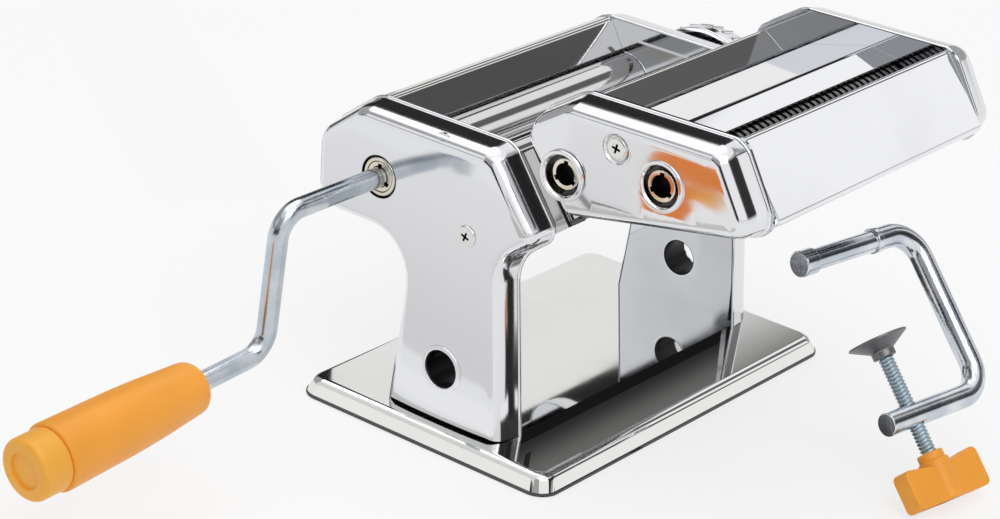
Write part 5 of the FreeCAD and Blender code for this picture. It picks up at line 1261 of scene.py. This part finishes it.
@dataclass
class Dial:
    """Knob that sets the roller gap, with its spring, washer screw and numbers."""

    y: float = 7.4443
    z: float = 105.0818
    start: float = 92.0
    end: float = 108.35
    pull: float = 4.0
    radius: float = 30.0
    waist: float = 26.6
    ribs: int = 32
    stations: int = 7
    swing: float = 150.0

    def build(self) -> None:
        """Models the knob and what it carries."""
        inner = self.radius - 2.2
        knob = turned("gap_dial", [
            (self.start, 4.6, 0.3), (98.0, 4.6, 0.3), (98.0, 8.0, 0.5), (self.end, 8.0, 0.6), (self.end, self.waist, 2.2),
            (self.start + 4.0, self.radius, 0.8), (self.start, self.radius, 0.6), (self.start, inner, 0.4),
            (95.7, inner, 0.5), (95.7, 10.5, 0.5), (self.start, 10.5, 0.4)], self.y, self.z, 96)
        ribs = [knob]
        rib = Bench.drum("rib", -4.6, 4.6, 0.9, 0.0, 0.0, 10)
        Bench.round_edges(rib, 0.35, 2, 50.0)
        slope = math.atan((self.radius - self.waist) / (self.end - self.start - 4.0))
        for turn in range(self.ribs):
            twin = Bench.copied(rib, "rib")
            Bench.change(twin, Matrix.Translation((0.0, self.y, self.z))
                         @ Matrix.Rotation(2 * math.pi * turn / self.ribs, 4, "X")
                         @ Matrix.Translation((101.2, 0.0, (self.radius + self.waist) / 2 + 0.2)) @ Matrix.Rotation(slope, 4, "Y"))
            ribs.append(twin)
        bpy.data.objects.remove(rib)
        Bench.finish(Bench.joined("gap_dial", ribs), CHROME, "dial", "chrome", ["dial_knob"])
        self.build_numbers()
        self.build_fastening()

    def build_numbers(self) -> None:
        """Models the numbers of the stations on the knob's face."""
        numbers = []
        for station in range(self.stations):
            Bench.clear()
            bpy.ops.object.text_add()
            text = bpy.context.object
            text.data.body = str(station + 1)
            text.data.size = 6.5
            text.data.extrude = 0.15
            text.data.align_x = "CENTER"
            text.data.align_y = "CENTER"
            Bench.activate(text)
            bpy.ops.object.convert(target="MESH")
            number = Bench.adopt("number")
            angle = math.radians(-90.0 + self.swing * station / (self.stations - 1))
            facing = Matrix(((0, 0, 1, 0), (1, 0, 0, 0), (0, 1, 0, 0), (0, 0, 0, 1)))
            Bench.change(number, Matrix.Translation((self.end, self.y, self.z)) @ Matrix.Rotation(angle, 4, "X")
                         @ Matrix.Translation((0.0, 0.0, 15.5)) @ facing)
            numbers.append(number)
        Bench.finish(Bench.joined("dial_numbers", numbers), ENAMEL, "dial", "dark_steel", [])

    def build_fastening(self) -> None:
        """Models the coil spring and the washer screw in the knob's pocket."""
        Bench.clear()
        bpy.ops.mesh.primitive_circle_add(vertices=8, radius=0.5, fill_type="NOTHING", location=(98.6, 0.0, 6.6),
                                          rotation=(math.pi / 2, 0.0, 0.0))
        spring = Bench.adopt("spring")
        Bench.modify(spring, "SCREW", {"axis": "X", "angle": 2 * math.pi, "screw_offset": 1.7, "iterations": 4,
                                       "steps": 32, "render_steps": 32})
        with Bench.editing(spring):
            bpy.ops.mesh.select_all(action="SELECT")
            bpy.ops.mesh.fill_holes(sides=0)
        Bench.face_outwards(spring, 0.0005)
        Bench.change(spring, Matrix.Translation((0.0, self.y, self.z)))
        Bench.finish(spring, CLAMP_ZINC, "dial", "zinc_steel", ["dial_spring"], 60.0)
        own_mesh(spring)
        washer = turned("dial_fastener", [(106.1, 2.0, 0.0), (106.1, 7.6, 0.3), (107.3, 7.6, 0.3), (107.3, 2.0, 0.0)],
                        self.y, self.z)
        screw = Bench.cross_screw("dial_head", 3.6, 1.1, 0.8, 8.0, 30.0)
        Bench.change(screw, Matrix.Translation((107.2, self.y, self.z)))
        Bench.finish(Bench.joined("dial_fastener", [washer, screw]), CLAMP_ZINC, "dial_shaft", "zinc_steel",
                     ["dial_screw"])


@dataclass
class Clamp:
    """Table clamp that stands beside the machine: bent rod, screw, pressure disc and wing knob."""

    heading: float = 9.7
    lean: float = 42.9
    stand_x: float = 58.5
    stand_y: float = -193.3
    hub: float = 6.6
    drop: float = 37.5
    top_arm: float = 66.7
    back: float = 73.6
    low_arm: float = 59.5
    offset: float = 44.1

    def place(self, piece: bpy.types.Object) -> bpy.types.Object:
        """Moves a piece made along +X, the arms, and +Z, the screw, to where the clamp stands."""
        heading, lean = math.radians(self.heading), math.radians(self.lean)
        arm = Vector((-math.cos(heading), math.sin(heading), 0.0))
        up = Vector((math.sin(heading) * math.sin(lean), math.cos(heading) * math.sin(lean), math.cos(lean)))
        stand = Vector((self.stand_x, self.stand_y, self.hub * math.sin(lean)))
        axes = Matrix((arm, up.cross(arm), up)).transposed().to_4x4()
        Bench.change(piece, Matrix.Translation(stand + up * self.drop) @ axes)
        return piece

    def upright(self, name: str, section: Sequence[Corner], steps: int = 64) -> bpy.types.Object:
        """Turned piece about the screw's line, from (height, radius, rounding) corners."""
        return Bench.aim(Bench.lathe(name, section, steps), (self.offset, 0.0, 0.0), (0.0, 0.0, 1.0), (1.0, 0.0, 0.0))

    def build_bar(self) -> None:
        """Models the bent bar with its neck and collar."""
        shoulder = self.top_arm - 43.0
        bar = Bench.rod("clamp_bar", 5.0, [Vector((shoulder, 0.0, self.back)), Vector((0.0, 0.0, self.back)),
                                           Vector((0.0, 0.0, 0.0)), Vector((self.low_arm, 0.0, 0.0))], 13.0)
        Bench.cut(bar, Bench.aim(Bench.drum("cutter", -12.0, 12.0, 3.4, 0.0, 0.0, 40), (self.offset, 0.0, 0.0),
                                 (0.0, 0.0, 1.0), (1.0, 0.0, 0.0)))
        neck = turned("neck", [
            (shoulder - 3.0, 0.0, 0.0), (shoulder - 3.0, 5.5, 0.4), (shoulder, 5.5, 0.5), (shoulder, 4.6, 0.2),
            (self.top_arm - 7.5, 4.6, 0.2), (self.top_arm - 7.5, 5.6, 0.5), (self.top_arm, 5.6, 0.7),
            (self.top_arm, 0.0, 0.0)], 0.0, self.back)
        Bench.finish(self.place(Bench.joined("clamp_bar", [bar, neck])), CLAMP_ZINC, "clamp", "zinc_steel", ["clamp_rod"])

    def build_screw(self) -> None:
        """Models the threaded screw and the pressure disc on its tip."""
        thread = Bench.thread("clamp_thread", 3.3, 0.55, 1.6, 56.0)
        thread = Bench.aim(thread, (self.offset, 0.0, -28.6), (0.0, 0.0, 1.0), (1.0, 0.0, 0.0))
        Bench.finish(self.place(thread), SCREW_ZINC, "clamp_wing", "screw_zinc", ["clamp_screw"], 50.0)
        disc = self.upright("clamp_pad", [
            (26.0, 3.4, 0.0), (26.0, 5.0, 0.5), (29.0, 5.0, 0.8), (33.5, 12.8, 0.2), (34.5, 12.8, 0.4), (30.0, 5.0, 1.5),
            (30.0, 0.0, 0.0), (29.0, 0.0, 0.0), (29.0, 3.4, 0.0)])
        Bench.finish(self.place(disc), DISC_STEEL, "clamp_disc", "dark_steel", ["pressure_disc"])

    def build_wing(self) -> None:
        """Models the moulded wing knob with its hub and stepped collar."""
        low, half, height, rim = -self.drop, 21.5, 17.5, 4.5
        wing = Bench.outline("wing", [
            (-half, low, 2.5), (half, low, 2.5), (half, low + height, 2.8), (0.0, low + height - 3.0, 0.0),
            (-half, low + height, 2.8)], -rim, 5)
        with Bench.editing(wing):
            bpy.ops.mesh.select_all(action="SELECT")
            Bench.extrude(wing, (2 * rim, 0.0, 0.0))
        Bench.face_outwards(wing)
        Bench.round_edges(wing, 0.9, 3, 40.0)
        Bench.change(wing, Matrix.Translation((self.offset, 0.0, 0.0)) @ Matrix.Rotation(math.pi / 2, 4, "Z"))
        hub = self.upright("hub", [(low, 0.0, 0.0), (low, 6.6, 1.2), (low + height, 6.6, 0.8), (low + height, 5.6, 0.3),
                                   (low + height + 3.5, 5.6, 0.9), (low + height + 3.5, 3.35, 0.2),
                                   (low + 6.0, 3.35, 0.0), (low + 6.0, 0.0, 0.0)])
        Bench.finish(self.place(Bench.joined("clamp_wings", [wing, hub])), ORANGE, "clamp_wing", "orange_plastic",
                     ["wing_knob"])

    def build(self) -> None:
        """Models the clamp."""
        self.build_bar()
        self.build_screw()
        self.build_wing()


@dataclass(frozen=True)
class Zone:
    """Soft card or dark gap round the studio, as polished metal mirrors it, in degrees."""

    azimuth: float
    half: float
    low: float
    high: float
    tone: float
    soft: float = 2.0


ZONES = (
    Zone(0.0, 180.0, 49.0, 90.0, 1.0),
    Zone(0.0, 180.0, -90.0, 8.0, 0.95),
    Zone(-27.0, 7.5, 16.5, 41.0, 1.0),
    Zone(-43.0, 8.5, 9.0, 41.0, 0.1, 1.4),
    Zone(-69.0, 20.0, 14.0, 41.0, 0.03),
    Zone(-120.0, 30.0, 10.0, 45.0, 1.0),
    Zone(180.0, 32.0, -2.0, 14.0, 0.03),
    Zone(-10.0, 11.0, 29.0, 49.0, 0.14),
    Zone(47.5, 20.5, 9.0, 47.0, 0.02),
    Zone(67.0, 23.0, -3.0, 6.0, 0.03),
    Zone(13.0, 13.0, 26.0, 49.0, 1.0),
    Zone(142.0, 10.0, 3.0, 40.0, 0.97),
    Zone(142.0, 26.0, 13.0, 18.0, 0.12),
)


@dataclass
class Studio:
    """Camera, lights, pale floor and background."""

    camera_place: tuple[float, float, float] = (-968.9, -702.8, 582.5)
    azimuth: float = -52.47
    elevation: float = 23.94
    roll: float = 4.20
    focal_pixels: float = 3046.2
    image_width: float = 1000.0
    sensor_width: float = 36.0
    between_zones: float = 0.4

    def build(self) -> None:
        """Sets up all of it."""
        self.place_camera()
        self.lay_floor()
        self.stand_cards()
        self.hang_lamps()
        self.paint_world()
        bpy.context.scene.view_settings.view_transform = "Standard"

    def place_camera(self) -> None:
        """Puts the camera where the photograph was taken from."""
        data = bpy.data.cameras.new("camera")
        data.sensor_width = self.sensor_width
        data.lens = self.focal_pixels / self.image_width * self.sensor_width
        data.clip_start = 0.05
        data.clip_end = 50.0
        camera = bpy.data.objects.new("camera", data)
        bpy.context.scene.collection.objects.link(camera)
        a, e, r = (math.radians(angle) for angle in (self.azimuth, self.elevation, self.roll))
        back = Vector((math.sin(a) * math.cos(e), -math.cos(a) * math.cos(e), math.sin(e)))
        right = (-back).cross(Vector((0.0, 0.0, 1.0))).normalized()
        up = right.cross(-back)
        turned_right = math.cos(r) * right + math.sin(r) * up
        turned_up = -math.sin(r) * right + math.cos(r) * up
        axes = Matrix((turned_right, turned_up, back)).transposed()
        camera.matrix_world = Matrix.Translation(Vector(self.camera_place) * MM) @ axes.to_4x4()
        bpy.context.scene.camera = camera

    def lay_floor(self) -> None:
        """Lays a pale floor that is larger than any view."""
        Bench.clear()
        bpy.ops.mesh.primitive_plane_add(size=8.0, location=(0.0, 0.0, 0.0))
        floor = Bench.adopt("floor")
        floor.data.materials.append(FloorPaper("floor_paper", (0.9, 0.9, 0.9), 0.75).material())

    def card(self, name: str, place: tuple[float, float, float], size: tuple[float, float],
             turn: tuple[float, float, float], low: float, high: float,
             colour: tuple[float, float, float] = (1.0, 0.995, 0.985)) -> None:
        """Stands a card that only polished metal shows.

        Args:
            name: The card's name.
            place: Of its middle, in metres.
            size: Its width and height, in metres.
            turn: Its rotation in degrees; without one it lies on the floor.
            low: Its tone at its foot.
            high: Its tone at its top.
            colour: Its colour.
        """
        Bench.clear()
        bpy.ops.mesh.primitive_plane_add(size=1.0, location=place, rotation=[math.radians(angle) for angle in turn])
        bpy.context.object.scale = (size[0], size[1], 1.0)
        card = Bench.adopt(name)
        reach = (place[2] - size[1] / 2, place[2] + size[1] / 2)
        card.data.materials.append(CardPaper(name + "_paper", colour, low, high, reach).material())
        for kind in ("camera", "diffuse", "transmission", "volume_scatter", "shadow"):
            setattr(card, f"visible_{kind}", False)

    def stand_cards(self) -> None:
        """Stands the white cards and lays the black ones."""
        self.card("rear_card", (0.75, 0.3, 0.1395), (1.12, 0.279), (90.0, 0.0, 0.0), 0.95, 0.9)
        self.card("side_card", (0.7, 0.301, 0.32), (0.4, 0.1), (90.0, 0.0, 0.0), 0.75, 0.08)
        self.card("tray_flag", (0.0, -0.03, 0.0133), (0.146, 0.0062), (90.0, 0.0, 0.0), 0.01, 0.01)
        self.card("tray_card", (0.0, -0.03, 0.0262), (0.146, 0.0196), (90.0, 0.0, 0.0), 0.03, 0.16)
        self.card("crank_card", (-0.125, 0.03, 0.059), (0.18, 0.092), (90.0, 0.0, 90.0), 0.76, 0.9)
        self.card("foot_card", (-0.112, 0.008, 0.0065), (0.122, 0.012), (90.0, 0.0, 90.0), 1.0, 1.0)
        self.card("front_card", (0.015, -0.075, 0.0058), (0.2, 0.0104), (90.0, 0.0, 0.0), 1.0, 1.0)
        self.card("head_card", (-0.125, -0.049, 0.125), (0.038, 0.075), (90.0, 0.0, 90.0), 0.78, 0.95)
        self.card("slope_flag", (-0.0752, -0.0381, 0.1217), (0.007, 0.037), (53.2, 0.0, 0.0), 0.02, 0.02)
        self.card("waist_flag", (-0.0758, -0.0357, 0.0455), (0.004, 0.062), (84.4, 0.0, 0.0), 0.02, 0.02)
        self.card("head_edge_card", (-0.0733, -0.1428, 0.1538), (0.0055, 0.036), (60.0, 0.0, 0.0), 1.0, 1.0)
        # An orange sheet that only polished metal sees, beside the cutter's near cover: a painted reflection of the
        # orange grip.
        self.card("painted_grip_reflection", (-0.112, -0.0955, 0.137), (0.039, 0.009), (90.0, 17.5, 90.0), 0.8, 0.8, (1.0, 0.3, 0.07))
        self.card("bend_card", (-0.1122, -0.0445, 0.1212), (0.018, 0.0028), (90.0, -24.0, 90.0), 0.2, 0.2)
        self.card("arm_card", (-0.1124, -0.063, 0.1207), (0.024, 0.0028), (90.0, 20.0, 90.0), 0.24, 0.24)
        self.card("low_card", (-0.1126, -0.078, 0.1105), (0.11, 0.014), (90.0, 11.0, 90.0), 0.58, 0.66, (1.0, 0.98, 0.93))
        self.card("front_flag", (-0.015, -0.1275, 0.0012), (0.13, 0.034), (0.0, 0.0, -56.0), 0.02, 0.02)
        self.card("rear_flag", (0.16, 0.44, 0.001), (0.5, 0.07), (0.0, 0.0, 57.0), 0.02, 0.02)
        # A near-black sheet that only polished metal sees lies under the tray: painted contact shadow, which the
        # glowing floor lacks.
        self.card("painted_contact_shadow", (0.0, 0.0, 0.0008), (0.198, 0.13), (0.0, 0.0, 0.0), 0.02, 0.02)

    def lamp(self, name: str, place: tuple[float, float, float], size: float, power: float) -> None:
        """Hangs a square soft lamp that faces the machine."""
        data = bpy.data.lights.new(name, "AREA")
        data.size = size
        data.energy = power
        lamp = bpy.data.objects.new(name, data)
        bpy.context.scene.collection.objects.link(lamp)
        lamp.location = place
        lamp.rotation_mode = "QUATERNION"
        lamp.rotation_quaternion = (Vector(place) - Vector((0.0, 0.0, 0.08))).to_track_quat("Z", "Y")

    def hang_lamps(self) -> None:
        """Hangs the soft lamps."""
        self.lamp("key", (-0.5, -0.9, 1.5), 1.2, 9.0)
        self.lamp("top", (0.2, 0.5, 1.8), 1.6, 8.0)

    def inside(self, zone: Zone, heading: Signal, height: Signal) -> Signal:
        """How far a direction lies inside a zone.

        Args:
            zone: The zone.
            heading: Direction round the machine in radians.
            height: Sine of its elevation.

        Returns:
            1 inside, 0 outside, with a soft edge.
        """
        def rise(angle: float) -> Signal:
            """Soft step over an elevation."""
            return height.between(*(math.sin(math.radians(max(min(angle + side * zone.soft, 90.0), -90.0)))
                                    for side in (-0.5, 0.5)))
        mask = height * 0.0 + 1.0
        if zone.low > -89.0:
            mask = mask * rise(zone.low)
        if zone.high < 89.0:
            mask = mask - mask * rise(zone.high)
        if zone.half < 179.0:
            away = (heading - math.radians(zone.azimuth)).maths("WRAP", math.pi, -math.pi).maths("ABSOLUTE")
            mask = mask * (1.0 - away.between(math.radians(zone.half - zone.soft / 2),
                                              math.radians(zone.half + zone.soft / 2)))
        return mask

    def paint_world(self) -> None:
        """White to the camera, plain grey to matt surfaces, and bright and dark zones to mirrors."""
        world = bpy.data.worlds.new("studio")
        bpy.context.scene.world = world
        graph = Graph(world)
        paths = graph.node("ShaderNodeLightPath", {}, {})
        direction = graph.node("ShaderNodeTexCoord", {}, {}).outputs["Generated"]
        parts = graph.node("ShaderNodeSeparateXYZ", {}, {"Vector": direction})
        height = Signal(graph, parts.outputs["Z"])
        heading = Signal(graph, parts.outputs["Y"]).maths("ARCTAN2", Signal(graph, parts.outputs["X"]))
        mirrored = height * 0.0 + self.between_zones
        for zone in ZONES:
            mirrored = mirrored + self.inside(zone, heading, height) * (zone.tone - mirrored)
        is_camera = Signal(graph, paths.outputs["Is Camera Ray"])
        is_glossy = Signal(graph, paths.outputs["Is Glossy Ray"])
        plain = 0.55
        level = is_camera + (1.0 - is_camera) * (is_glossy * mirrored + (1.0 - is_glossy) * plain)
        back = graph.node("ShaderNodeBackground", {}, {"Color": (1.0, 1.0, 1.0, 1.0), "Strength": level})
        graph.node("ShaderNodeOutputWorld", {}, {"Surface": back.outputs["Background"]})


def dress_cad_nodes() -> None:
    """Gives every CAD node the finish of its slot or its own."""
    slots = {row["node"]: row["material_slot"] for row in frame["record"]["subparts"]}
    for name, node in frame["nodes"].items():
        look = FINISH_OF_NODE.get(name) or FINISH_OF_SLOT[slots[name]]
        node.data.materials.clear()
        node.data.materials.append(look.material())


def main() -> None:
    """Builds the studio and every sub-assembly."""
    logging.basicConfig(level=logging.INFO, format="%(message)s")
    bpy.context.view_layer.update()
    Studio().build()
    dress_cad_nodes()
    for part in (Housing(), Crank(), CutterHead(), Dial(), Clamp()):
        part.build()


if __name__ == "__main__":
    main()
